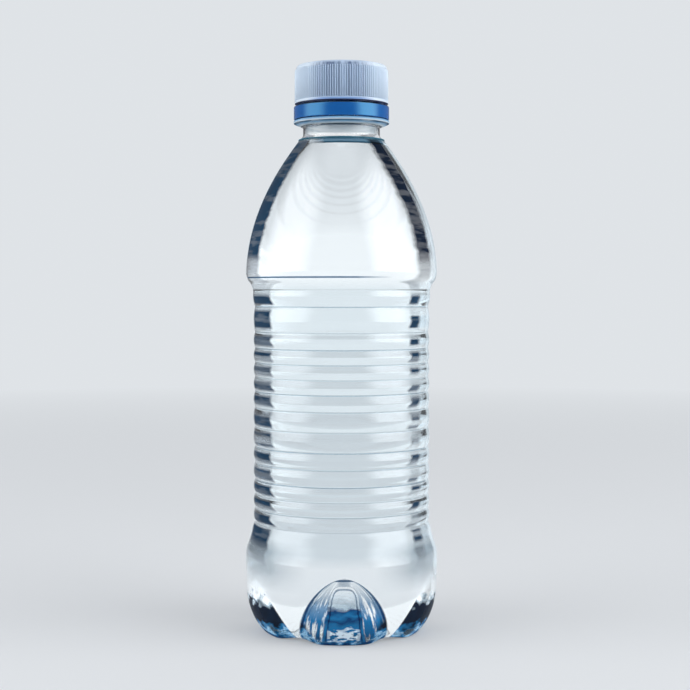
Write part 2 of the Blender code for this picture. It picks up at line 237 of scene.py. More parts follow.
def mark_points(piece: bpy.types.Object, name: str, values: np.ndarray) -> None:
    """Keep one value for each point of a skin's rows on its mesh, with nought at the poles.

    Args:
        piece: a piece made by skin.
        name: the attribute's name, which its material reads.
        values: one value for each row and column.
    """
    attribute = piece.data.attributes.new(name, "FLOAT", "POINT")
    padded = np.zeros(len(piece.data.vertices))
    padded[: values.size] = values.ravel()
    attribute.data.foreach_set("value", padded)


def inset_rows(rows: np.ndarray, distance: float) -> np.ndarray:
    """Move rows into the wall along its own normals.

    Args:
        rows: the wall's outside, from the base's centre upwards.
        distance: how far the new rows lie inside.

    Returns:
        Rows of the same shape.
    """
    along = np.roll(rows, -1, axis=1) - np.roll(rows, 1, axis=1)
    upwards = np.gradient(rows, axis=0)
    normals = np.cross(along, upwards)
    normals /= np.linalg.norm(normals, axis=2, keepdims=True)
    return rows - distance * normals


def grey(level: float) -> tuple[float, float, float]:
    """A neutral colour of one level."""
    return (level, level, level)


class NodeMaker:
    """Adds nodes to one tree and links them."""

    def __init__(self, tree: bpy.types.NodeTree) -> None:
        """Take the tree that gets the nodes."""
        self.tree = tree

    def feed(self, socket: Socket, value: Feed) -> None:
        """Link an input to a socket, or set it to a value.

        Args:
            socket: the input.
            value: a socket, a number, a vector, a material or a colour, which gets its alpha here.
        """
        if isinstance(value, Socket):
            self.tree.links.new(value, socket)
        elif socket.type == "RGBA" and len(value) == 3:
            socket.default_value = (*value, 1.0)
        else:
            socket.default_value = value

    def put(self, node: bpy.types.Node, key: str, value: Feed) -> None:
        """Feed one input of a node, found by its name."""
        self.feed(next(socket for socket in node.inputs if socket.name == key and socket.enabled), value)

    def node(self, kind: str, settings: dict | None = None, **inputs: Feed) -> bpy.types.Node:
        """Add a node.

        Args:
            kind: the node's type name.
            settings: the node's own properties.
            **inputs: values or sockets, with underscores for the spaces in a socket's name.

        Returns:
            The new node.
        """
        node = self.tree.nodes.new(kind)
        for key, value in (settings or {}).items():
            setattr(node, key, value)
        for key, value in inputs.items():
            self.put(node, key.replace("_", " "), value)
        return node

    def maths(self, operation: str, first: Feed, second: Feed = 0.0) -> Socket:
        """Work with two numbers.

        Args:
            operation: the Math node's operation.
            first: the first number.
            second: the second number, where the operation has one.

        Returns:
            The result.
        """
        node = self.node("ShaderNodeMath", {"operation": operation})
        self.feed(node.inputs[0], first)
        self.feed(node.inputs[1], second)
        return node.outputs[0]

    def product(self, *parts: Feed) -> Socket:
        """Multiply numbers.

        Args:
            *parts: the numbers.

        Returns:
            Their product.
        """
        total = parts[0]
        for part in parts[1:]:
            total = self.maths("MULTIPLY", total, part)
        return total

    def stretched(self, value: Feed, start: float, end: float, low: float = 0.0, high: float = 1.0) -> Socket:
        """Map a range onto another one, held at its ends.

        Args:
            value: the number to map.
            start: the value that becomes low.
            end: the value that becomes high.
            low: result at the start.
            high: result at the end.

        Returns:
            The mapped number.
        """
        limits = {"From_Min": start, "From_Max": end, "To_Min": low, "To_Max": high}
        return self.node("ShaderNodeMapRange", Value=value, **limits).outputs[0]

    def ramp(self, value: Socket, stops: Stops) -> Socket:
        """Map a number onto a run of colours.

        Args:
            value: the number.
            stops: place from 0 to 1 and colour of each stop, in order.

        Returns:
            The colour.
        """
        node = self.node("ShaderNodeValToRGB", Fac=value)
        marks = node.color_ramp.elements
        while len(marks) < len(stops):
            marks.new(0.5)
        for mark, (place, colour) in zip(marks, stops):
            mark.position = place
            mark.color = (*colour, 1.0)
        return node.outputs["Color"]

    def blend(self, share: Feed, first: Feed, second: Feed, mode: str = "MIX") -> Socket:
        """Mix two colours.

        Args:
            share: how much of the second colour there is.
            first: the first colour.
            second: the second colour.
            mode: the way of mixing.

        Returns:
            The mixed colour.
        """
        node = self.node("ShaderNodeMix", {"data_type": "RGBA", "blend_type": mode})
        for socket, value in zip((node.inputs[0], node.inputs[6], node.inputs[7]), (share, first, second)):
            self.feed(socket, value)
        return node.outputs[2]

    def layered(self, *tints: Feed) -> Socket:
        """Lay tints over each other, as filters are.

        Args:
            *tints: the tints.

        Returns:
            The tint of them all.
        """
        total = tints[0]
        for tint in tints[1:]:
            total = self.blend(1.0, total, tint, "MULTIPLY")
        return total


class Shader(NodeMaker):
    """Makes one material round its Principled shader."""

    def __init__(self, name: str) -> None:
        """Start the material.

        Args:
            name: what to call it.
        """
        self.material = bpy.data.materials.new(name)
        self.material.use_nodes = True
        super().__init__(self.material.node_tree)
        self.principled = self.tree.nodes["Principled BSDF"]
        self.output = self.tree.nodes["Material Output"]

    def place(self) -> Socket:
        """The point on the piece, in metres."""
        return self.node("ShaderNodeTexCoord").outputs["Object"]

    def along(self, axis: str) -> Socket:
        """The point's place along one axis, in metres."""
        return self.node("ShaderNodeSeparateXYZ", Vector=self.place()).outputs[axis]

    def height(self) -> Socket:
        """The point's height above the feet, in metres."""
        return self.along("Z")

    def from_axis(self) -> Socket:
        """The point's distance from the upright axis, in metres."""
        squares = [self.maths("POWER", self.along(axis), 2.0) for axis in ("X", "Y")]
        return self.maths("SQRT", self.maths("ADD", *squares))

    def facing(self) -> Socket:
        """Nought where the surface is seen head on, and 1 at its outline."""
        return self.node("ShaderNodeLayerWeight", Blend=0.5).outputs["Facing"]

    def facing_round(self) -> Socket:
        """Make the same for the plain round that a ribbed or footed piece would be without its relief.

        Returns:
            Nought in the middle of the round, and 1 at its outline.
        """
        outwards = self.node("ShaderNodeCombineXYZ", X=self.along("X"), Y=self.along("Y"))
        settings = {"vector_type": "NORMAL", "convert_from": "OBJECT", "convert_to": "WORLD"}
        turned = self.node("ShaderNodeVectorTransform", settings, Vector=outwards.outputs[0])
        return self.node("ShaderNodeLayerWeight", Blend=0.5, Normal=turned.outputs[0]).outputs["Facing"]

    def by_height(self, stops: Stops, shift: Feed | None = None) -> Socket:
        """Colour the piece by its height.

        Args:
            stops: height in metres and colour of each stop, from the lowest.
            shift: what is added to the height, for an uneven edge.

        Returns:
            The colour.
        """
        bottom, top = stops[0][0], stops[-1][0]
        height = self.height() if shift is None else self.maths("ADD", self.height(), shift)
        places = [((level - bottom) / (top - bottom), colour) for level, colour in stops]
        return self.ramp(self.stretched(height, bottom, top), places)

    def cloud(self, place: Socket, scale: float, detail: float) -> Socket:
        """Noise at a point, from 0 to 1."""
        return self.node("ShaderNodeTexNoise", Vector=place, Scale=scale, Detail=detail).outputs["Fac"]

    def streak_noise(self, scales: tuple, detail: float) -> Socket:
        """Make noise that is drawn out into streaks.

        Args:
            scales: its scale along each axis.
            detail: how fine its detail is.

        Returns:
            The noise, from 0 to 1.
        """
        drawn = self.node("ShaderNodeVectorMath", {"operation": "MULTIPLY"})
        self.feed(drawn.inputs[0], self.place())
        self.feed(drawn.inputs[1], scales)
        return self.cloud(drawn.outputs[0], 1.0, detail)

    def level_noise(self, scale: float, detail: float = 0.0) -> Socket:
        """Make noise that changes with height alone, so it is one value all round.

        Args:
            scale: how many swings there are in a metre.
            detail: how many finer layers are added.

        Returns:
            The noise, from 0 to 1.
        """
        settings = {"noise_dimensions": "1D"}
        node = self.node("ShaderNodeTexNoise", settings, W=self.height(), Scale=scale, Detail=detail)
        return node.outputs["Fac"]

    def noise(self, scale: float, detail: float = 3.0) -> Socket:
        """Noise over the piece, from 0 to 1."""
        return self.cloud(self.place(), scale, detail)

    def surface(self, **inputs: Feed) -> None:
        """Feed inputs of the Principled shader."""
        for key, value in inputs.items():
            self.put(self.principled, key.replace("_", " "), value)

    def cover_with(self, shader: Socket, share: Feed) -> None:
        """Lay another shader over the Principled one.

        Args:
            shader: the other shader.
            share: how much of it covers the first one.
        """
        mix = self.node("ShaderNodeMixShader")
        for socket, value in zip(mix.inputs, (share, self.principled.outputs[0], shader)):
            self.feed(socket, value)
        self.feed(self.output.inputs["Surface"], mix.outputs[0])


@dataclass(frozen=True)
class FootPattern:
    """The arches of the feet as a pattern in a material, from the same sizes as the wall."""

    feet: int
    front: float
    arch_height: float
    roundness: float
    taper: float
    half_angle: float

    def place(self, made: Shader) -> tuple[Socket, Socket]:
        """Find where a point lies on its foot.

        Args:
            made: the material that gets the nodes.

        Returns:
            Share of the way from the foot's middle out to its arch, and arc length from the middle.
        """
        spacing = FULL_TURN / self.feet
        angle = made.maths("ARCTAN2", made.along("Y"), made.along("X"))
        turned = made.maths("FLOORED_MODULO", made.maths("ADD", angle, 0.5 * spacing - self.front), spacing)
        off_centre = made.maths("ABSOLUTE", made.maths("SUBTRACT", turned, 0.5 * spacing))
        climb = made.maths("MINIMUM", made.maths("DIVIDE", made.height(), self.arch_height), 0.999)
        left_over = made.maths("SUBTRACT", 1.0, made.maths("POWER", climb, self.roundness))
        spread = made.product(made.maths("POWER", left_over, self.taper), self.half_angle)
        return made.maths("DIVIDE", off_centre, spread), made.product(off_centre, made.from_axis())


@dataclass(frozen=True)
class ClearPet:
    """Clear blown PET, with painted shade and refraction: navy and streaked near its outline, and blue in the
    feet.

    The stops of its ramps are heights above the feet, or shares of how far the surface turns away.
    """

    pattern: FootPattern
    roughness: float = 0.03
    refraction: float = 1.5
    white: tuple = grey(1.0)
    black: tuple = grey(0.0)
    # These colours are painted: navy and ink are shade at the outline, slate and line are dark lines, the
    # foot colours are refraction, the teal ones are the water's reflection, and pale, glare and ring colours
    # are highlights
    navy: tuple = (0.015, 0.05, 0.10)
    ink: tuple = (0.004, 0.012, 0.03)
    slate: tuple = (0.42, 0.52, 0.60)
    pale: tuple = (0.86, 0.92, 0.96)
    # Painted shade over the waist
    waist_shade: tuple = (0.82, 0.86, 0.88)
    line: tuple = (0.06, 0.16, 0.28)
    foot_blue: tuple = (0.01, 0.18, 0.42)
    foot_deep: tuple = (0.005, 0.05, 0.16)
    foot_pale: tuple = (0.38, 0.66, 0.90)
    shade: tuple = (0.56, 0.61, 0.645)
    teal: tuple = (0.02, 0.20, 0.30)
    teal_dark: tuple = (0.02, 0.08, 0.13)
    teal_pale: tuple = (0.14, 0.27, 0.38)
    ring_pale: tuple = (0.26, 0.55, 0.86)
    ring_blue: tuple = (0.10, 0.30, 0.60)
    glare: tuple = (0.82, 0.94, 1.0)
    # Shares of the matt cover: the painted pale rim, the painted glare, and the darkest tints as painted
    # shade
    rim_share: float = 0.5
    glare_share: float = 0.9
    dark_share: float = 0.75
    side_change: float = 8.0 * MM
    face_top: float = 20.6 * MM
    face_width: float = 7.6 * MM
    face_taper: float = 3.6 * MM
    crest_radius: float = 30.1 * MM
    valley_radius: float = 29.85 * MM
    line_start: float = 29.805 * MM
    line_end: float = 29.765 * MM

    def towards_right(self, made: Shader) -> Socket:
        """Nought on the -X side and 1 on the +X side, with a soft change between them."""
        return made.stretched(made.along("X"), -self.side_change, self.side_change)

    def outline_edge(self, made: Shader) -> Socket:
        """Paint shade along the outline: a wide dark edge towards -X, and a narrow one inside a pale rim of
        painted reflection towards +X.

        Args:
            made: the material that gets the nodes.

        Returns:
            The tint.
        """
        wander = made.stretched(made.streak_noise((60.0, 60.0, 380.0), 2.0), 0.3, 0.7, -0.015, 0.015)
        edge = made.maths("ADD", made.facing(), wander)
        waist = made.ramp(edge, [
            (0.39, self.white), (0.43, self.navy), (0.86, self.navy), (0.93, self.pale),
        ])
        waist_rim = made.ramp(edge, [
            (0.37, self.white), (0.41, self.navy), (0.51, self.navy), (0.58, self.pale),
        ])
        missing = made.stretched(made.level_noise(260.0), 0.42, 0.54, 0.75, 0.0)
        waist_rim = made.blend(missing, waist_rim, self.white)
        shoulder = made.ramp(edge, [(0.50, self.white), (0.55, self.navy), (0.94, self.navy)])
        shoulder_rim = made.ramp(edge, [
            (0.38, self.white), (0.45, self.ink), (0.62, self.ink), (0.69, self.pale),
        ])
        right = self.towards_right(made)
        high = made.stretched(made.height(), 117.0 * MM, 121.0 * MM)
        on_waist = made.blend(right, waist, waist_rim)
        return made.blend(high, on_waist, made.blend(right, shoulder, shoulder_rim))

    def outline_tint(self, made: Shader) -> Socket:
        """Break up the painted dark edge by the rings and by streaks of its own.

        Args:
            made: the material that gets the nodes.

        Returns:
            The tint.
        """
        dark = self.outline_edge(made)
        streaks = made.stretched(made.streak_noise((60.0, 60.0, 420.0), 4.0), 0.40, 0.58, 0.80, 1.0)
        by_ring = made.stretched(made.level_noise(190.0, 1.0), 0.36, 0.48, 0.6, 1.0)
        shoulder = made.by_height([
            (114.0 * MM, self.black), (118.0 * MM, grey(0.3)), (125.0 * MM, grey(0.4)),
            (129.0 * MM, self.white),
        ])
        below = made.stretched(shoulder, 0.1, 0.0)
        steady = made.maths("MAXIMUM", made.product(by_ring, below), shoulder)
        crest = made.stretched(made.from_axis(), self.valley_radius, self.crest_radius)
        crest = made.maths("MAXIMUM", crest, made.stretched(made.height(), 117.0 * MM, 119.0 * MM))
        share = made.stretched(made.product(steady, crest, streaks), 0.0, 0.92)
        broken = made.blend(share, made.blend(0.25, self.white, dark), dark)
        strength = made.by_height([
            (24.0 * MM, self.black), (27.0 * MM, grey(0.3)), (33.0 * MM, self.white),
            (166.0 * MM, self.white), (169.0 * MM, grey(0.45)),
        ])
        return made.blend(strength, self.white, broken)

    def valley_shade_line(self, made: Shader) -> Socket:
        """Draw a fine line of painted shade in each valley between two rings, stronger in some than in
        others.

        Args:
            made: the material that gets the nodes.

        Returns:
            The line's share.
        """
        deep = made.stretched(made.from_axis(), self.line_start, self.line_end)
        waist = made.by_height([
            (36.0 * MM, self.black), (40.0 * MM, self.white), (114.0 * MM, self.white),
            (118.0 * MM, self.black),
        ])
        strength = made.stretched(made.level_noise(120.0), 0.35, 0.65, 0.35, 0.85)
        return made.product(deep, waist, strength)

    def level_tint(self, made: Shader) -> Socket:
        """Tint by height: painted shade up to the waist's top, a line of painted shade above it, and a
        painted reflection at the water's surface.

        Args:
            made: the material that gets the nodes.

        Returns:
            The tint.
        """
        # Painted shade: the waist is a little darker than the wall below and above it
        body = made.by_height([
            (26.0 * MM, self.white), (30.0 * MM, self.waist_shade), (116.0 * MM, self.waist_shade),
            (120.0 * MM, self.white),
        ])
        # Painted shade line across the shoulder, strongest towards -X
        shade_line = made.by_height([
            (120.26 * MM, self.white), (120.44 * MM, self.line), (120.74 * MM, self.line),
            (120.98 * MM, self.white),
        ])
        body = made.blend(made.stretched(made.along("X"), 16.0 * MM, 4.0 * MM), body, shade_line, "MULTIPLY")
        lower_wall = made.by_height([
            (17.0 * MM, self.black), (24.0 * MM, self.white), (30.0 * MM, self.white),
            (34.0 * MM, self.black),
        ])
        turned_away = made.product(lower_wall, made.stretched(made.facing_round(), 0.08, 0.35))
        body = made.blend(turned_away, body, self.shade, "MULTIPLY")
        body = made.blend(self.valley_shade_line(made), body, self.slate, "MULTIPLY")
        # Painted teal reflection of the water's surface, fainter towards -X
        surface = made.by_height([
            (165.56 * MM, self.white), (165.76 * MM, self.teal_dark), (166.2 * MM, self.teal_dark),
            (166.44 * MM, self.teal_pale), (167.48 * MM, self.teal_pale), (167.8 * MM, self.teal),
            (168.04 * MM, self.white),
        ])
        seen = made.stretched(made.along("X"), -11.0 * MM, -6.0 * MM, 0.15, 1.0)
        return made.layered(body, made.blend(seen, self.white, surface))

    def face_level(self, made: Shader, wave: Socket) -> Socket:
        """Share of the way up a foot's face, with an uneven edge."""
        return made.stretched(made.maths("ADD", made.height(), wave), 0.0, self.face_top)

    def face_tint(self, made: Shader, wave: Socket) -> Socket:
        """Painted refraction: bands of blue and white up the face of a foot."""
        return made.ramp(self.face_level(made, wave), [
            (0.00, self.foot_deep), (0.09, self.foot_blue), (0.34, self.foot_blue), (0.44, self.foot_deep),
            (0.52, self.foot_blue), (0.60, self.foot_deep), (0.66, self.slate), (0.86, self.pale),
            (1.00, self.white),
        ])

    def slanted_tint(self, made: Shader, wave: Socket) -> Socket:
        """Painted shade and refraction of a foot that is seen from its side: nearly black, with a blue foot
        end.
        """
        return made.ramp(self.face_level(made, wave), [
            (0.00, self.foot_deep), (0.06, self.foot_blue), (0.13, self.foot_pale), (0.20, self.foot_blue),
            (0.28, self.ink), (0.55, self.ink), (0.61, self.slate), (0.70, self.white),
        ])

    def flank_tint(self, made: Shader, nested: Socket) -> Socket:
        """Paint refraction on a foot's flanks: blue and white strands that run up to the arch's top.

        Args:
            made: the material that gets the nodes.
            nested: share of the way from the foot's middle out to its arch.

        Returns:
            The tint.
        """
        fine = made.node(
            "ShaderNodeCombineXYZ",
            X=made.product(nested, 11.0),
            Y=made.product(made.height(), 110.0),
            Z=made.stretched(made.along("X"), -0.03, 0.03, 0.0, 9.0),
        )
        strands = made.cloud(fine.outputs[0], 1.0, 3.0)
        low_blue = made.by_height([
            (0.0, self.foot_deep), (9.0 * MM, self.foot_blue), (20.0 * MM, self.slate),
        ])
        high = made.stretched(made.height(), 15.0 * MM, 23.0 * MM)
        white_share = made.maths("MAXIMUM", made.stretched(strands, 0.48, 0.58), high)
        return made.blend(white_share, low_blue, self.white)

    def face_shape(self, made: Shader, across: Socket, wave: Socket) -> Socket:
        """Draw the outline of a foot's face as a rounded arch.

        Args:
            made: the material that gets the nodes.
            across: arc length from the foot's middle.
            wave: an uneven length that breaks the outline a little.

        Returns:
            Nought in the middle of the face, 1 on its outline, and more outside it.
        """
        narrow = self.face_width - self.face_taper
        width = made.stretched(made.height(), 0.0, self.face_top, self.face_width, narrow)
        reach = made.maths("DIVIDE", made.maths("ADD", across, made.product(wave, 0.15)), width)
        rise = made.stretched(made.height(), 0.72 * self.face_top, self.face_top)
        fourth = [made.maths("POWER", part, 4.0) for part in (reach, rise)]
        return made.maths("POWER", made.maths("ADD", *fourth), 0.25)

    def foot_lines(self, made: Shader, nested: Socket) -> Socket:
        """Draw dark lines of painted shade round a foot's arch and at its top.

        Args:
            made: the material that gets the nodes.
            nested: share of the way from the foot's middle out to its arch.

        Returns:
            The lines' tint.
        """
        arch_line = made.ramp(nested, [
            (0.78, self.white), (0.82, self.slate), (0.86, self.white), (0.90, self.line),
            (0.96, self.line), (0.995, self.white),
        ])
        top_line = made.by_height([
            (22.0 * MM, self.white), (22.24 * MM, self.line), (22.64 * MM, self.line),
            (22.96 * MM, self.white),
        ])
        return made.layered(arch_line, top_line)

    def foot_tint(self, made: Shader) -> tuple[Socket, Socket]:
        """Tint the feet with painted refraction, with dark lines of painted shade round the arch and the
        face.

        Args:
            made: the material that gets the nodes.

        Returns:
            The tint, and the share of white glare on the foot's face.
        """
        nested, across = self.pattern.place(made)
        ragged = made.streak_noise((260.0, 260.0, 420.0), 4.0)
        wave = made.stretched(ragged, 0.25, 0.75, -1.5 * MM, 1.5 * MM)
        face = self.face_shape(made, across, wave)
        face_line = made.ramp(face, [
            (0.76, self.white), (0.82, self.line), (0.90, self.white), (0.98, self.white),
            (1.0, self.line),
        ])
        on_face = made.stretched(face, 1.03, 0.97)
        inner = made.blend(on_face, self.flank_tint(made, nested), self.face_tint(made, wave))
        inner = made.layered(inner, made.blend(on_face, self.white, face_line), self.foot_lines(made, nested))
        beside = made.stretched(made.facing_round(), 0.08, 0.24, 0.0, 0.3)
        slant = made.stretched(made.maths("ADD", made.facing(), beside), 0.40, 0.52)
        inner = made.blend(slant, inner, self.slanted_tint(made, made.product(wave, 2.0)))
        tint = made.blend(made.stretched(nested, 0.99, 0.95), self.white, inner)
        # Painted highlight: spots of white glare low on the middle of the face
        spots = made.stretched(made.streak_noise((420.0, 420.0, 900.0), 3.0), 0.44, 0.50)
        low = made.by_height([
            (1.6 * MM, self.black), (2.4 * MM, self.white), (5.2 * MM, self.white), (6.6 * MM, self.black),
        ], wave)
        middle = made.stretched(across, 5.6 * MM, 4.2 * MM)
        return tint, made.product(spots, low, middle, made.stretched(slant, 1.0, 0.0))

    def neck_painted_light(self, made: Shader) -> tuple[Socket, Socket]:
        """Make the painted light and shade on the neck and its support ring: glare, pale and blue bands, and
        dark lines.

        Args:
            made: the material that gets the nodes.

        Returns:
            Its share and its colour.
        """
        colour = made.by_height([
            (171.84 * MM, self.glare), (172.08 * MM, self.teal_dark), (172.44 * MM, self.teal_dark),
            (172.64 * MM, self.glare), (173.12 * MM, self.ring_pale), (173.32 * MM, self.line),
            (173.52 * MM, self.line), (173.68 * MM, self.glare), (174.16 * MM, self.ring_pale),
            (174.56 * MM, self.ring_blue),
        ])
        share = made.by_height([
            (168.96 * MM, self.black), (169.44 * MM, grey(0.4)), (171.92 * MM, grey(0.4)),
            (172.24 * MM, grey(0.7)), (174.64 * MM, grey(0.7)), (174.96 * MM, self.black),
        ])
        on_ring = made.stretched(made.height(), 172.24 * MM, 172.56 * MM)
        head_on = made.stretched(made.facing(), 0.75, 0.45)
        return made.product(share, made.maths("MAXIMUM", on_ring, head_on)), colour

    def rim_cover(self, made: Shader) -> Socket:
        """Make the pale light along the outline: a hair's breadth towards -X, and wider towards +X.

        Args:
            made: the material that gets the nodes.

        Returns:
            Its share.
        """
        facing = made.facing()
        thin = made.stretched(facing, 0.90, 0.96)
        wide = made.product(made.stretched(facing, 0.71, 0.78), self.towards_right(made))
        level = made.by_height([
            (16.0 * MM, self.black), (24.0 * MM, self.white), (164.0 * MM, self.white),
            (168.0 * MM, self.black),
        ])
        return made.product(made.maths("MAXIMUM", thin, wide), level, self.rim_share)

    def material(self) -> bpy.types.Material:
        """Build the material, with painted shade, refraction and highlights laid only where its outer skin is
        looked at from outside.

        Returns:
            The new material.
        """
        made = Shader("clear_pet")
        outer = made.node("ShaderNodeAttribute", {"attribute_name": OUTER_SKIN}).outputs["Fac"]
        front = made.maths("SUBTRACT", 1.0, made.node("ShaderNodeNewGeometry").outputs["Backfacing"])
        shown = made.product(outer, front)
        base = made.stretched(made.height(), 23.4 * MM, 22.6 * MM)
        foot, glare = self.foot_tint(made)
        foot = made.blend(base, self.white, foot)
        tint = made.layered(self.outline_tint(made), self.level_tint(made), foot)
        tint = made.blend(shown, self.white, tint)
        made.surface(
            Base_Color=made.layered(tint, tint),
            Roughness=self.roughness,
            IOR=self.refraction,
            Transmission_Weight=1.0,
        )
        # Painted light: the neck's bands, the glare on the feet and the pale rim go on as a matt cover, and
        # so do the darkest tints, as painted shade
        share, colour = self.neck_painted_light(made)
        pale = made.maths("MAXIMUM", share, made.product(glare, self.glare_share))
        pale = made.maths("MAXIMUM", pale, self.rim_cover(made))
        green = made.node("ShaderNodeSeparateColor", Color=tint).outputs["Green"]
        dark = made.stretched(green, 0.5, 0.05, 0.0, self.dark_share)
        colour = made.blend(made.stretched(pale, 0.0, 0.2), tint, colour)
        painted_cover = made.node("ShaderNodeBsdfDiffuse", Color=colour)
        made.cover_with(painted_cover.outputs[0], made.product(shown, made.maths("MAXIMUM", pale, dark)))
        return made.material


@dataclass(frozen=True)
class ClearWater:
    """Still water, very slightly blue, with a painted teal reflection on its surface."""

    tint: tuple = (0.93, 0.975, 1.0)
    refraction: float = 1.333
    teal: tuple = (0.03, 0.16, 0.24)
    cover: float = 0.8

    def material(self) -> bpy.types.Material:
        """Build the material.

        Returns:
            The new material.
        """
        made = Shader("water")
        made.surface(Base_Color=self.tint, Roughness=0.0, IOR=self.refraction, Transmission_Weight=1.0)
        # Painted reflection: a matt teal cover over the water's top
        top = made.node("ShaderNodeAttribute", {"attribute_name": WATER_TOP}).outputs["Fac"]
        mirror = made.node("ShaderNodeBsdfDiffuse", Color=self.teal)
        made.cover_with(mirror.outputs[0], made.product(top, self.cover))
        return made.material


@dataclass(frozen=True)
class Zone:
    """A colour that takes over from one value of a measure to another one."""

    measure: Measure
    colour: tuple
    start: float
    end: float

    def share(self, made: Shader) -> Socket:
        """Make the share by which the colour has taken over.

        Args:
            made: the material that gets the nodes.

        Returns:
            The share, uneven in grooves and held out of the crown's edge.
        """
        # Groove zones are painted shade, darkest deep between the ribs
        if self.measure is Measure.GROOVE:
            inside = made.stretched(made.from_axis(), self.start, self.end)
            below_crown = made.stretched(made.from_axis(), self.end - 0.4 * MM, self.end - 0.1 * MM)
            uneven = made.stretched(made.streak_noise((800.0, 800.0, 12.0), 2.0), 0.35, 0.62, 0.1, 1.0)
            return made.product(inside, below_crown, uneven)
        measure = made.height() if self.measure is Measure.HEIGHT else made.facing_round()
        return made.stretched(measure, self.start, self.end)


@dataclass(frozen=True)
class MouldedPlastic:
    """Moulded plastic of one pigment, with faint flow marks and a fine grain."""

    name: str
    colour: tuple
    shade: tuple
    roughness: float
    grain: float
    refraction: float = 1.5
    gloss_tint: tuple = grey(1.0)
    zones: tuple[Zone, ...] = ()

    def material(self) -> bpy.types.Material:
        """Build the material.

        Returns:
            The new material.
        """
        made = Shader(self.name)
        colour = made.blend(made.noise(90.0, 4.0), self.shade, self.colour)
        # Zones lay colours by height, slant or groove depth; the cap's and band's zones are painted shade and
        # painted sheen
        for zone in self.zones:
            colour = made.blend(zone.share(made), colour, zone.colour)
        rough = made.stretched(made.noise(400.0), 0.0, 1.0, self.roughness - 0.05, self.roughness + 0.07)
        bump = made.node("ShaderNodeBump", Strength=self.grain, Distance=0.05 * MM, Height=made.noise(2600.0))
        made.surface(Base_Color=colour, Roughness=rough, Normal=bump.outputs[0], IOR=self.refraction)
        made.surface(Specular_Tint=self.gloss_tint)
        return made.material


@dataclass(frozen=True)
class PlainStage:
    """The pale matt floor, which runs out into the background's colour."""

    colour: tuple = (0.80, 0.82, 0.84)
    lit: tuple = (0.96, 0.985, 1.0)
    background: tuple = (0.74, 0.77, 0.80)
    glow: float = 0.35
    fade_start: float = 0.30
    fade_end: float = 1.30

    def material(self) -> bpy.types.Material:
        """Build the floor's material, lifted for the camera and for clear pieces only.

        Returns:
            The new material.
        """
        made = Shader("floor")
        made.surface(Base_Color=self.colour, Roughness=0.9, Specular_IOR_Level=0.1)
        path = made.node("ShaderNodeLightPath")
        through = path.outputs["Is Transmission Ray"]
        seen = made.maths("MAXIMUM", path.outputs["Is Camera Ray"], through)
        reach = made.node("ShaderNodeVectorMath", {"operation": "LENGTH"})
        made.feed(reach.inputs[0], made.place())
        far = made.stretched(reach.outputs["Value"], self.fade_start, self.fade_end, self.glow, 1.0)
        plain = made.node("ShaderNodeEmission", Color=made.blend(through, self.background, self.lit))
        made.cover_with(plain.outputs[0], made.product(seen, far))
        return made.material


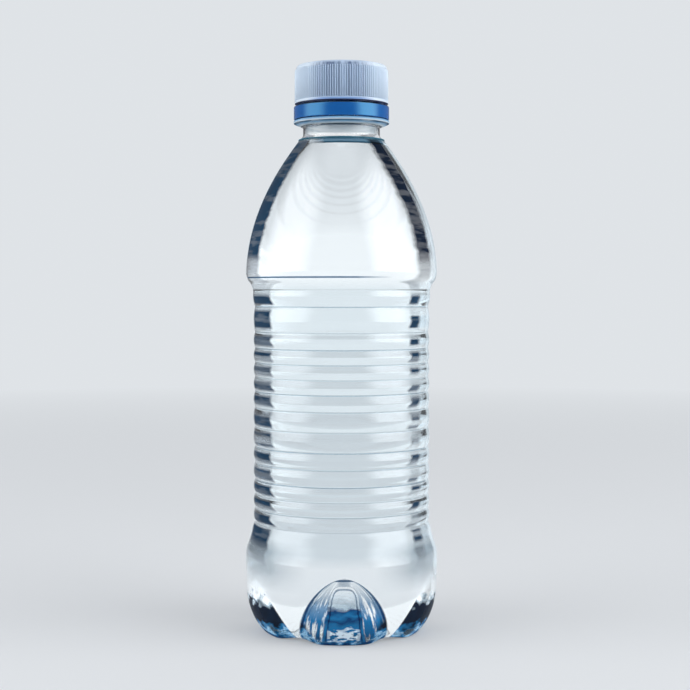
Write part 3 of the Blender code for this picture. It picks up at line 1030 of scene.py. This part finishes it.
@dataclass
class BlownWall:
    """The outside of the blown bottle from its base's centre up to the neck, as rows of points."""

    columns: int = 120
    body_radius: float = 32.8 * MM
    feet: int = 5
    front: float = math.radians(-90.0)
    pad_inner: float = 22.5 * MM
    pad_outer: float = 26.0 * MM
    hub_radius: float = 6.5 * MM
    hub_rise: float = 5.5 * MM
    heel_height: float = 17.2 * MM
    heel_fullness: float = 1.4
    strap_radius: float = 24.0 * MM
    strap_rise: float = 1.0 * MM
    strap_fullness: float = 0.7
    hub_spread: float = 0.5
    arch_height: float = 23.0 * MM
    arch_roundness: float = 1.2
    arch_taper: float = 0.55
    face_half_angle: float = math.radians(15.0)
    foot_half_angle: float = math.radians(35.0)
    innermost: float = -0.38
    web_rows: int = 24
    heel_rows: int = 34
    arch_rows: int = 12
    lower_wall_top: float = 26.2 * MM
    wall_start: float = 0.8 * MM
    curve_steps: int = 6
    waist_bottom: float = 37.2 * MM
    valley: float = 29.75 * MM
    ring_rise: float = 0.5 * MM
    valley_softness: float = 0.18
    narrow: float = 4.9 * MM
    medium: float = 5.6 * MM
    broad: float = 6.6 * MM
    top_ring: float = 8.6 * MM
    bulge_run: float = 6.0 * MM
    upper_step: float = 5.1 * MM
    shoulder_height: float = 46.1 * MM
    shoulder_top_radius: float = 14.4 * MM
    shoulder_power: float = 1.95
    shoulder_steps: int = 40
    neck_radius: float = 13.2 * MM
    neck_blend: float = 1.5 * MM
    ring_pitches: list[float] = field(init=False)

    def __post_init__(self) -> None:
        """List the rings' pitches from the lowest to the highest."""
        self.ring_pitches = (
            [self.narrow] * 3 + [self.medium] * 2 + [self.broad] * 2
            + [self.medium] + [self.narrow] * 3 + [self.medium] + [self.top_ring]
        )

    @property
    def waist_top(self) -> float:
        """Height of the highest valley."""
        return self.waist_bottom + sum(self.ring_pitches)

    @property
    def shoulder_bottom(self) -> float:
        """Height of the shoulder's widest point."""
        return self.waist_top + self.bulge_run + self.upper_step

    @property
    def shoulder_top(self) -> float:
        """Height of the shoulder's top, which is the water's level."""
        return self.shoulder_bottom + self.shoulder_height

    def foot_share(self, spread: float) -> np.ndarray:
        """How much of each point in a row belongs to a foot, where the rest is strap.

        Args:
            spread: the feet's share of their full width in this row.

        Returns:
            One share for each column, from 0 to 1.
        """
        spacing = FULL_TURN / self.feet
        angles = np.arange(self.columns) * FULL_TURN / self.columns
        off_centre = np.abs((angles - self.front + 0.5 * spacing) % spacing - 0.5 * spacing)
        flank = self.foot_half_angle - self.face_half_angle
        return 1.0 - smoothstep((off_centre / spread - self.face_half_angle) / flank)

    def base_stations(self) -> list[tuple]:
        """List the base's rows, from near its centre to the top of the arches.

        Returns:
            Foot point, strap point and spread of each row.
        """
        stations = []
        for share in np.linspace(self.innermost, 1.0, self.web_rows):
            radius = self.hub_radius + share * (self.pad_inner - self.hub_radius)
            grown = max(float(share), 0.0)
            foot = (radius, self.hub_rise * (1.0 - float(smoothstep(np.array(grown)))))
            strap = (radius, self.hub_rise - (self.hub_rise - self.strap_rise) * grown**2)
            stations.append((foot, strap, self.hub_spread + grown * (1.0 - self.hub_spread)))
        for turn in np.linspace(0.0, 0.5 * math.pi, self.heel_rows):
            height = self.heel_height * (1.0 - math.cos(turn))
            bulge = math.sin(turn) ** self.heel_fullness
            radius = self.pad_outer + bulge * (self.body_radius - self.pad_outer)
            stations.append(self.heel_station(radius, height))
        for height in np.linspace(self.heel_height, self.arch_height, self.arch_rows)[1:]:
            stations.append(self.heel_station(self.body_radius, float(height)))
        return stations

    def heel_station(self, radius: float, height: float) -> tuple:
        """Shape one row of the heel.

        Args:
            radius: the foot's radius there.
            height: the row's height up the foot.

        Returns:
            Foot point, strap point and spread of the row.
        """
        share = min(height / self.arch_height, 0.9995)
        swell = (1.0 - (1.0 - share) ** 2) ** self.strap_fullness
        strap = (
            self.strap_radius + swell * (self.body_radius - self.strap_radius),
            self.strap_rise + share * (self.arch_height - self.strap_rise),
        )
        return (radius, height), strap, (1.0 - share**self.arch_roundness) ** self.arch_taper

    def base_rows(self) -> np.ndarray:
        """Build the base, from its centre out to the top of the feet's arches.

        Returns:
            Its rows.
        """
        angles = np.arange(self.columns) * FULL_TURN / self.columns
        rows = []
        for foot, strap, spread in self.base_stations():
            share = self.foot_share(spread)
            radius = share * foot[0] + (1.0 - share) * strap[0]
            height = share * foot[1] + (1.0 - share) * strap[1]
            rows.append(np.stack((radius * np.cos(angles), radius * np.sin(angles), height), axis=1))
        return np.array(rows)

    def ring(self, bottom: float, pitch: float) -> Outline:
        """Draw one ring above its lower valley, rounded at the crest and sharper in the valley.

        Args:
            bottom: height of the lower valley.
            pitch: the ring's height.

        Returns:
            The ring's outline, without its lowest point.
        """
        steps, power = (10, 1.0) if pitch < self.broad else (13, 0.7)
        soft = self.valley_softness
        outline = []
        for step in range(1, steps + 1):
            share = step / steps
            swell = math.sin(math.pi * share) ** power
            rise = (math.hypot(swell, soft) - soft) / (math.hypot(1.0, soft) - soft)
            outline.append((self.valley + self.ring_rise * rise, bottom + pitch * share))
        return outline

    def wall_outline(self) -> Outline:
        """Draw the wall from just above the arches, over the rings and the shoulder, into the neck.

        Returns:
            The outline.
        """
        lower = curve_through([
            (self.body_radius, self.lower_wall_top),
            (32.5 * MM, 28.3 * MM),
            (31.8 * MM, 30.3 * MM),
            (31.0 * MM, 33.0 * MM),
            (30.5 * MM, 35.4 * MM),
            (self.valley, self.waist_bottom),
        ], self.curve_steps)
        start = (self.body_radius, self.arch_height + self.wall_start)
        outline = spaced([start, lower[0]], self.wall_start) + lower[1:]
        height = self.waist_bottom
        for pitch in self.ring_pitches:
            outline += self.ring(height, pitch)
            height += pitch
        outline += curve_through([
            (self.valley, height),
            (30.25 * MM, height + 1.7 * MM),
            (30.5 * MM, height + 3.6 * MM),
            (30.45 * MM, height + 5.6 * MM),
            (31.1 * MM, height + 7.5 * MM),
            (32.2 * MM, height + 9.1 * MM),
            (self.body_radius, self.shoulder_bottom),
        ], self.curve_steps)[1:]
        for step in range(1, self.shoulder_steps + 1):
            share = step / self.shoulder_steps
            drop = (self.body_radius - self.shoulder_top_radius) * share**self.shoulder_power
            outline.append((self.body_radius - drop, self.shoulder_bottom + self.shoulder_height * share))
        outline += [(13.75 * MM, self.shoulder_top + 0.6 * MM), (13.35 * MM, self.shoulder_top + 1.1 * MM)]
        outline.append((self.neck_radius, self.shoulder_top + self.neck_blend + 0.3 * MM))
        return outline

    def rows(self) -> np.ndarray:
        """All rows of the blown wall's outside."""
        return np.concatenate((self.base_rows(), turned_rows(self.wall_outline(), self.columns)))

    def foot_pattern(self) -> FootPattern:
        """The feet's arches as a pattern for a material."""
        return FootPattern(
            feet=self.feet,
            front=self.front,
            arch_height=self.arch_height,
            roundness=self.arch_roundness,
            taper=self.arch_taper,
            half_angle=self.foot_half_angle,
        )


@dataclass
class Thread:
    """A right-hand thread of several starts, laid as a height over a turned wall."""

    top: float
    starts: int = 3
    lead: float = 9.0 * MM
    span: float = math.radians(200.0)
    run_out: float = math.radians(18.0)
    height: float = 1.0 * MM
    root_width: float = 1.3 * MM
    crest_width: float = 0.5 * MM

    def rise(self, angles: np.ndarray, heights: np.ndarray) -> np.ndarray:
        """How far the ridges stand off the wall.

        Args:
            angles: angle of each point round the axis.
            heights: height of each point.

        Returns:
            The rise at each point, nought between the ridges.
        """
        best = np.zeros(np.broadcast(angles, heights).shape)
        for start in range(self.starts):
            turned = (angles - FULL_TURN * start / self.starts) % FULL_TURN
            middle = self.top - self.lead * (self.span - turned) / FULL_TURN
            taper = np.clip(np.minimum(turned, self.span - turned) / self.run_out, 0.0, 1.0)
            slope = 0.5 * (self.root_width - self.crest_width)
            flank = np.clip((0.5 * self.root_width - np.abs(heights - middle)) / slope, 0.0, 1.0)
            best = np.maximum(best, self.height * smoothstep(taper) * flank)
        return best


def add_thread(rows: np.ndarray, thread: Thread, bottom: float, top: float, direction: float) -> np.ndarray:
    """Raise a thread on the rows that lie between two heights.

    Args:
        rows: the wall's rows.
        thread: the thread's sizes.
        bottom: lowest height that takes the thread.
        top: highest height that takes the thread.
        direction: 1 for ridges outwards and -1 for ridges inwards.

    Returns:
        The rows with the thread on them.
    """
    angles = np.arctan2(rows[..., 1], rows[..., 0])
    heights = rows[..., 2]
    radii = np.hypot(rows[..., 0], rows[..., 1])
    rise = thread.rise(angles % FULL_TURN, heights) * ((heights > bottom) & (heights < top))
    scale = (radii + direction * rise) / np.maximum(radii, 1e-9)
    return np.stack((rows[..., 0] * scale, rows[..., 1] * scale, heights), axis=2)


@dataclass
class Vessel:
    """The blown bottle with its threaded neck."""

    wall: BlownWall
    finish: ClearPet
    thickness: float = 0.35 * MM
    bore: float = 12.5 * MM
    ring_radius: float = 16.5 * MM
    finish_radius: float = 13.5 * MM
    bead_radius: float = 14.6 * MM
    ring_underside: float = 172.2 * MM
    ring_top: float = 174.6 * MM
    bead_underside: float = 177.6 * MM
    neck_spacing: float = 0.31 * MM

    def neck_outline(self, rim: float) -> Outline:
        """Draw the neck from under the support ring up over the rim and down the bore.

        Args:
            rim: height of the neck's rim.

        Returns:
            The outline.
        """
        corners = [
            (self.wall.neck_radius, self.ring_underside),
            (self.ring_radius, self.ring_underside + 1.4 * MM),
            (self.ring_radius, self.ring_top - 0.3 * MM),
            (self.ring_radius - 0.3 * MM, self.ring_top),
            (self.finish_radius, self.ring_top),
            (self.finish_radius, self.bead_underside),
            (self.bead_radius, self.bead_underside),
            (self.bead_radius, self.bead_underside + 0.7 * MM),
            (self.finish_radius, self.bead_underside + 1.8 * MM),
            (self.finish_radius, rim),
            (self.bore, rim),
            (self.bore, self.ring_underside),
        ]
        fillets = {1: 0.35 * MM, 2: 0.2 * MM, 3: 0.2 * MM, 4: 0.4 * MM, 5: 0.3 * MM, 6: 0.2 * MM}
        fillets |= {7: 0.2 * MM, 8: 0.4 * MM, 9: 0.4 * MM, 10: 0.25 * MM}
        return spaced(rounded(corners, fillets), self.neck_spacing)

    def build(self, rim: float) -> bpy.types.Object:
        """Build the bottle.

        Args:
            rim: height of the neck's rim.

        Returns:
            The bottle, riding on its body.
        """
        outside = self.wall.rows()
        inside = inset_rows(outside, self.thickness)
        neck = turned_rows(self.neck_outline(rim), self.wall.columns)
        outer_neck = np.hypot(neck[..., 0], neck[..., 1]) > self.finish_radius - 0.05 * MM
        threaded = add_thread(neck, Thread(top=rim - 2.0 * MM), self.bead_underside + 2.0 * MM, rim, 1.0)
        neck = np.where(outer_neck[..., None], threaded, neck)
        piece = skin("clear_bottle", np.concatenate((outside, neck, inside[::-1])), End.POLE)
        seen = np.ones((len(outside) + len(neck), self.wall.columns))
        mark_points(piece, OUTER_SKIN, np.concatenate((seen, np.zeros(inside.shape[:2]))))
        piece.data.materials.append(self.finish.material())
        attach(piece, Body.VESSEL.value)
        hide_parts("bottle")
        return piece


@dataclass
class Filling:
    """The water, which wets the wall all round and climbs it a little at its surface."""

    wall: BlownWall
    finish: ClearWater
    inset: float = 0.3 * MM
    meniscus: float = 0.7 * MM
    meniscus_reach: float = 1.8 * MM
    meniscus_rows: int = 8
    below_level: float = 0.2 * MM
    edge_step: float = 0.25 * MM
    middle_radius: float = 2.0 * MM

    def build(self) -> bpy.types.Object:
        """Build the water up to the shoulder's top.

        Returns:
            The water, riding on its body.
        """
        level = self.wall.shoulder_top
        rows = inset_rows(self.wall.rows(), self.inset)
        rows = rows[rows[..., 2].max(axis=1) < level - self.below_level]
        edge = float(np.hypot(rows[-1, 0, 0], rows[-1, 0, 1])) - self.edge_step
        top = [(edge, level)]
        for share in np.linspace(0.1, 1.0, self.meniscus_rows):
            drop = self.meniscus * (1.0 - (1.0 - share) ** 2)
            top.append((edge - share * self.meniscus_reach, level - drop))
        top.append((self.middle_radius, level - self.meniscus))
        wetted = rows.shape[:2]
        rows = np.concatenate((rows, turned_rows(top, self.wall.columns)))
        piece = skin("water_fill", rows, End.POLE)
        surface = np.ones(rows.shape[:2])
        surface[: wetted[0]] = 0.0
        mark_points(piece, WATER_TOP, surface)
        piece.data.materials.append(self.finish.material())
        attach(piece, Body.VESSEL.value)
        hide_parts("water")
        return piece


def ribs_by_nodes(
    name: str, rib: bpy.types.Object, count: int, material: bpy.types.Material
) -> bpy.types.Object:
    """Repeat a rib round the axis with Geometry Nodes, and turn the result into a plain mesh.

    Args:
        name: the new object's name.
        rib: one rib at angle nought.
        count: how many ribs go round.
        material: the ribs' finish.

    Returns:
        One object with all the ribs.
    """
    tree = bpy.data.node_groups.new(name + "_nodes", "GeometryNodeTree")
    tree.interface.new_socket("Geometry", in_out="INPUT", socket_type="NodeSocketGeometry")
    count_socket = tree.interface.new_socket("Count", in_out="INPUT", socket_type="NodeSocketInt")
    tree.interface.new_socket("Geometry", in_out="OUTPUT", socket_type="NodeSocketGeometry")
    made = NodeMaker(tree)
    given = made.node("NodeGroupInput")
    points = made.node("GeometryNodePoints", Count=given.outputs["Count"]).outputs[0]
    step = made.maths("DIVIDE", FULL_TURN, given.outputs["Count"])
    turn = made.product(made.node("GeometryNodeInputIndex").outputs[0], step)
    spin = made.node("ShaderNodeCombineXYZ", Z=turn).outputs[0]
    ribs = {"Points": points, "Instance": given.outputs["Geometry"], "Rotation": spin}
    copies = made.node("GeometryNodeInstanceOnPoints", **ribs).outputs[0]
    real = made.node("GeometryNodeRealizeInstances", Geometry=copies).outputs[0]
    dressed = made.node("GeometryNodeSetMaterial", Geometry=real, Material=material).outputs[0]
    made.feed(made.node("NodeGroupOutput").inputs[0], dressed)
    repeat = rib.modifiers.new("ribs", "NODES")
    repeat.node_group = tree
    repeat[count_socket.identifier] = count
    evaluated = rib.evaluated_get(bpy.context.evaluated_depsgraph_get())
    mesh = bpy.data.meshes.new_from_object(evaluated)
    mesh.name = name
    rib.modifiers.clear()
    bpy.data.objects.remove(rib)
    piece = bpy.data.objects.new(name, mesh)
    bpy.context.scene.collection.objects.link(piece)
    return piece


def bar(name: str, section: Outline, levels: list[tuple[float, float]]) -> bpy.types.Object:
    """Loft a closed bar upwards through copies of one section.

    Args:
        name: the new object's name.
        section: x and y of the section's corners, counter-clockwise from above.
        levels: height, and how far the section is pulled in towards the axis there.

    Returns:
        The bar, shaded smooth.
    """
    shape = bmesh.new()
    loops = [
        [shape.verts.new((x - pull, y, height)) for x, y in section]
        for height, pull in levels
    ]
    for lower, upper in zip(loops, loops[1:]):
        for index in range(len(section)):
            beside = (index + 1) % len(section)
            shape.faces.new((lower[index], lower[beside], upper[beside], upper[index]))
    shape.faces.new(list(reversed(loops[0])))
    shape.faces.new(loops[-1])
    bmesh.ops.recalc_face_normals(shape, faces=shape.faces)
    mesh = bpy.data.meshes.new(name)
    shape.to_mesh(mesh)
    shape.free()
    mesh.shade_smooth()
    piece = bpy.data.objects.new(name, mesh)
    bpy.context.scene.collection.objects.link(piece)
    return piece


@dataclass
class Closure:
    """The screw cap: a turned shell with a thread inside, and fine grip ribs outside."""

    finish: MouldedPlastic
    bottom: float
    top: float
    columns: int = 180
    inner_radius: float = 14.85 * MM
    hem_radius: float = 16.14 * MM
    hem_height: float = 1.2 * MM
    root_radius: float = 15.65 * MM
    rib_depth: float = 0.47 * MM
    rib_count: int = 120
    rib_length: float = 10.9 * MM
    crown: float = 1.5 * MM
    skirt_drop: float = 0.3 * MM
    skirt_width: float = 0.5 * MM
    ceiling: float = 1.3 * MM

    def shell_rows(self) -> np.ndarray:
        """Build the shell from the middle of its ceiling, round the hem, to the middle of its top.

        Returns:
            Its rows.
        """
        hem_top = self.bottom + self.hem_height
        hem_bottom = self.bottom + self.skirt_drop
        skirt = self.inner_radius + self.skirt_width
        corners = [
            (1.0 * MM, self.top - self.ceiling),
            (self.inner_radius, self.top - self.ceiling),
            (self.inner_radius, self.bottom),
            (skirt, self.bottom),
            (skirt, hem_bottom),
            (self.hem_radius, hem_bottom),
            (self.hem_radius, hem_top),
            (self.root_radius, hem_top + 0.25 * MM),
            (self.root_radius, self.top),
            (1.0 * MM, self.top),
        ]
        fillets = {1: 0.4 * MM, 2: 0.1 * MM, 3: 0.1 * MM, 5: 0.2 * MM, 6: 0.2 * MM}
        fillets |= {7: 0.15 * MM, 8: self.crown}
        outline = spaced(rounded(corners, fillets, steps=8), 0.25 * MM)
        rows = turned_rows(outline, self.columns)
        ridges = Thread(top=self.top - 5.5 * MM, root_width=0.9 * MM, crest_width=0.4 * MM, height=0.95 * MM)
        inner = np.abs(np.hypot(rows[..., 0], rows[..., 1]) - self.inner_radius) < 0.02 * MM
        threaded = add_thread(rows, ridges, self.bottom + 0.3 * MM, self.top - self.ceiling, -1.0)
        return np.where(inner[..., None], threaded, rows)

    def rib(self) -> bpy.types.Object:
        """Build one grip rib at angle nought, rounded in section and run out at its top.

        Returns:
            The rib.
        """
        half = 0.31 * FULL_TURN * self.root_radius / self.rib_count
        sunk = self.root_radius - 0.15 * MM
        crest = self.root_radius + self.rib_depth
        section = [(sunk, -half), (self.root_radius, -half), (crest - 0.08 * MM, -0.55 * half)]
        section += [(crest, 0.0), (crest - 0.08 * MM, 0.55 * half), (self.root_radius, half), (sunk, half)]
        hem_top = self.bottom + self.hem_height
        head = hem_top + self.rib_length
        levels = [(hem_top - 0.1 * MM, 0.0), (head - 1.0 * MM, 0.0), (head - 0.5 * MM, 0.04 * MM)]
        levels += [(head - 0.15 * MM, 0.14 * MM), (head, 0.32 * MM)]
        return bar("cap_rib", section, levels)

    def build(self) -> list[bpy.types.Object]:
        """Build the cap.

        Returns:
            The shell and the ribs, riding on their body.
        """
        material = self.finish.material()
        shell = skin("cap_shell", self.shell_rows(), End.POLE)
        shell.data.materials.append(material)
        ribs = ribs_by_nodes("cap_ribs", self.rib(), self.rib_count, material)
        for piece in (shell, ribs):
            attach(piece, Body.CLOSURE.value)
        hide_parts("cap")
        return [shell, ribs]


@dataclass
class TamperBand:
    """The blue ring on the neck, with the stubs of its broken bridges on top."""

    finish: MouldedPlastic
    bottom: float
    top: float
    columns: int = 160
    radius: float = 16.4 * MM
    inner_radius: float = 15.2 * MM
    lip_radius: float = 14.0 * MM
    lip_top: float = 177.3 * MM
    bridge_count: int = 10

    def build(self) -> list[bpy.types.Object]:
        """Build the tamper band.

        Returns:
            The band and its bridge stubs, riding on their body.
        """
        corners = [
            (self.radius, self.bottom),
            (self.radius, self.top),
            (self.inner_radius, self.top),
            (self.inner_radius, self.lip_top),
            (self.lip_radius, self.lip_top),
            (self.lip_radius, self.lip_top - 0.4 * MM),
            (self.inner_radius, self.lip_top - 1.6 * MM),
            (self.inner_radius, self.bottom),
        ]
        fillets = {0: 0.25 * MM, 1: 0.55 * MM, 2: 0.2 * MM, 4: 0.1 * MM, 5: 0.1 * MM, 7: 0.2 * MM}
        outline = spaced(rounded(corners, fillets, steps=6, closed=True), 0.4 * MM)
        band = skin("blue_band", turned_rows(outline, self.columns), End.LOOP)
        material = self.finish.material()
        band.data.materials.append(material)
        middle = 0.5 * (self.radius + self.inner_radius)
        section = [(middle - 0.3 * MM, -0.4 * MM), (middle + 0.3 * MM, -0.4 * MM)]
        section += [(middle + 0.3 * MM, 0.4 * MM), (middle - 0.3 * MM, 0.4 * MM)]
        levels = [(self.top - 0.1 * MM, 0.0), (self.top + 0.12 * MM, 0.0), (self.top + 0.18 * MM, 0.05 * MM)]
        stub = bar("bridge_stub", section, levels)
        stubs = ribs_by_nodes("bridge_stubs", stub, self.bridge_count, material)
        for piece in (band, stubs):
            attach(piece, Body.VESSEL.value)
        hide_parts("tamper_band")
        return [band, stubs]


@dataclass
class Liner:
    """The seal disc under the cap's ceiling, with a pressed ring where the rim bears."""

    finish: MouldedPlastic
    bottom: float
    top: float
    columns: int = 96
    radius: float = 14.2 * MM
    groove: float = 13.0 * MM

    def build(self) -> bpy.types.Object:
        """Build the disc.

        Returns:
            The disc, riding on its body.
        """
        corners = [
            (1.0 * MM, self.bottom),
            (self.groove - 0.8 * MM, self.bottom),
            (self.groove - 0.5 * MM, self.bottom + 0.08 * MM),
            (self.groove + 0.5 * MM, self.bottom + 0.08 * MM),
            (self.groove + 0.8 * MM, self.bottom),
            (self.radius, self.bottom),
            (self.radius, self.top),
            (1.0 * MM, self.top),
        ]
        outline = spaced(rounded(corners, {5: 0.12 * MM, 6: 0.12 * MM}), 0.6 * MM)
        piece = skin("seal_disc", turned_rows(outline, self.columns), End.POLE)
        piece.data.materials.append(self.finish.material())
        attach(piece, Body.SEAL.value)
        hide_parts("liner")
        return piece


@dataclass
class Studio:
    """Floor, soft light and the photograph's camera."""

    distance: float = 0.517
    eye_height: float = 0.1164
    turn: float = math.radians(1.5)
    lens: float = 78.26
    sensor: float = 36.0
    shift: tuple = (0.0051, -0.0797)
    floor_size: float = 8.0
    stage: PlainStage = PlainStage()
    zenith: tuple = (0.84, 0.89, 0.92)
    zenith_start: float = 0.2
    zenith_end: float = 0.75
    fill: tuple = (0.29, 0.30, 0.32)
    box_size: tuple = (1.8, 2.2)
    box_fade: tuple = (0.36, 0.26)
    box_power: float = 18.3
    aim_height: float = 0.11

    def build_floor(self) -> None:
        """Lay the floor just under the feet."""
        half = 0.5 * self.floor_size
        mesh = bpy.data.meshes.new("floor")
        corners = [(-half, -half, 0.0), (half, -half, 0.0), (half, half, 0.0), (-half, half, 0.0)]
        mesh.from_pydata(corners, [], [(0, 1, 2, 3)])
        mesh.materials.append(self.stage.material())
        floor = bpy.data.objects.new("floor", mesh)
        bpy.context.scene.collection.objects.link(floor)

    def build_world(self) -> None:
        """A dim even fill, behind a pale background for the camera and for clear pieces."""
        world = bpy.data.worlds.new("studio")
        world.use_nodes = True
        made = NodeMaker(world.node_tree)
        path = made.node("ShaderNodeLightPath")
        direction = made.node("ShaderNodeTexCoord").outputs["Generated"]
        upwards = made.node("ShaderNodeSeparateXYZ", Vector=direction).outputs["Z"]
        climb = made.stretched(upwards, self.zenith_start, self.zenith_end)
        sky = made.blend(climb, self.stage.lit, self.zenith)
        around = made.blend(path.outputs["Is Transmission Ray"], self.fill, sky)
        shown = made.blend(path.outputs["Is Camera Ray"], around, self.stage.background)
        made.put(made.tree.nodes["Background"], "Color", shown)
        bpy.context.scene.world = world

    def add_softbox(self, name: str, place: tuple, size: tuple, power: float) -> None:
        """Add one area light that faces the bottle's middle and fades towards its edges.

        Args:
            name: the light's name.
            place: its position.
            size: its width and height.
            power: its power in watts.
        """
        light = bpy.data.lights.new(name, "AREA")
        light.shape = "RECTANGLE"
        light.size, light.size_y = size
        light.energy = power
        light.use_nodes = True
        made = NodeMaker(light.node_tree)
        across = made.node("ShaderNodeNewGeometry").outputs["Parametric"]
        spot = made.node("ShaderNodeSeparateXYZ", Vector=across)
        edges = []
        for axis, fade in zip("XY", self.box_fade):
            inwards = made.maths("PINGPONG", spot.outputs[axis], 0.5)
            smooth = {"interpolation_type": "SMOOTHSTEP"}
            edges.append(made.node("ShaderNodeMapRange", smooth, Value=inwards, From_Max=fade).outputs[0])
        made.put(made.tree.nodes["Emission"], "Strength", made.product(*edges))
        lamp = bpy.data.objects.new(name, light)
        lamp.location = place
        aim = Vector((0.0, 0.0, self.aim_height)) - Vector(place)
        lamp.rotation_euler = aim.to_track_quat("-Z", "Y").to_euler()
        bpy.context.scene.collection.objects.link(lamp)

    def build_camera(self) -> None:
        """Stand the camera level, where the photograph was taken from."""
        camera = bpy.data.cameras.new("camera")
        camera.lens = self.lens
        camera.sensor_width = self.sensor
        camera.shift_x, camera.shift_y = self.shift
        stand = bpy.data.objects.new("camera", camera)
        x = self.distance * math.sin(-self.turn)
        y = -self.distance * math.cos(self.turn)
        stand.location = (x, y, self.eye_height)
        stand.rotation_euler = (0.5 * math.pi, 0.0, -self.turn)
        bpy.context.scene.collection.objects.link(stand)
        bpy.context.scene.camera = stand

    def build(self) -> None:
        """Build the studio."""
        self.build_floor()
        self.build_world()
        self.add_softbox("left_softbox", (-1.05, -0.35, 0.55), self.box_size, 1.3 * self.box_power)
        self.add_softbox("right_softbox", (1.0, -0.45, 0.55), self.box_size, 1.7 * self.box_power)
        self.add_softbox("top_softbox", (0.0, 0.1, 1.6), self.box_size, 0.4 * self.box_power)
        self.build_camera()
        bpy.context.scene.view_settings.view_transform = "Standard"


def main() -> None:
    """Load the frame, build every piece, then finish."""
    logging.basicConfig(level=logging.INFO, format="%(name)s %(message)s")
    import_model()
    wall = BlownWall()
    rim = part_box("bottle")[1].z
    cap_box, band_box, liner_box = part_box("cap"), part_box("tamper_band"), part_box("liner")
    pieces = [Vessel(wall, ClearPet(wall.foot_pattern())).build(rim), Filling(wall, ClearWater()).build()]
    hem, band_top = cap_box[0].z, band_box[1].z
    pale = MouldedPlastic("cap_plastic", (0.48, 0.60, 0.77), (0.44, 0.56, 0.73), 0.38, 0.3, zones=(
        # Painted shade in the grooves between the ribs
        Zone(Measure.GROOVE, (0.09, 0.14, 0.26), 15.98 * MM, 15.7 * MM),
        # Painted shade: the hem darker and bluer towards its bottom
        Zone(Measure.HEIGHT, (0.20, 0.35, 0.66), hem + 1.2 * MM, hem + 0.8 * MM),
        # Painted sheen: lighter where the ribbed round turns away to the sides
        Zone(Measure.SLANT, (0.70, 0.81, 0.93), 0.10, 0.32),
        # Painted shade at the very bottom of the hem, over the band
        Zone(Measure.HEIGHT, (0.005, 0.02, 0.12), hem + 0.45 * MM, hem + 0.32 * MM),
    ))
    blue = MouldedPlastic(
        "band_plastic", (0.0, 0.09, 0.38), (0.0, 0.08, 0.34), 0.2, 0.1, 2.1, (0.3, 0.8, 1.0),
        # Painted shade in the recess at the band's top
        (Zone(Measure.HEIGHT, (0.0, 0.01, 0.09), band_top - 0.4 * MM, band_top - 0.3 * MM),),
    )
    foam = MouldedPlastic("liner_foam", (0.84, 0.87, 0.9), (0.78, 0.81, 0.85), 0.6, 0.5)
    pieces += Closure(pale, hem, cap_box[1].z).build()
    pieces += TamperBand(blue, band_box[0].z, band_top).build()
    pieces.append(Liner(foam, liner_box[0].z, liner_box[1].z).build())
    Studio().build()


if __name__ == "__main__":
    main()
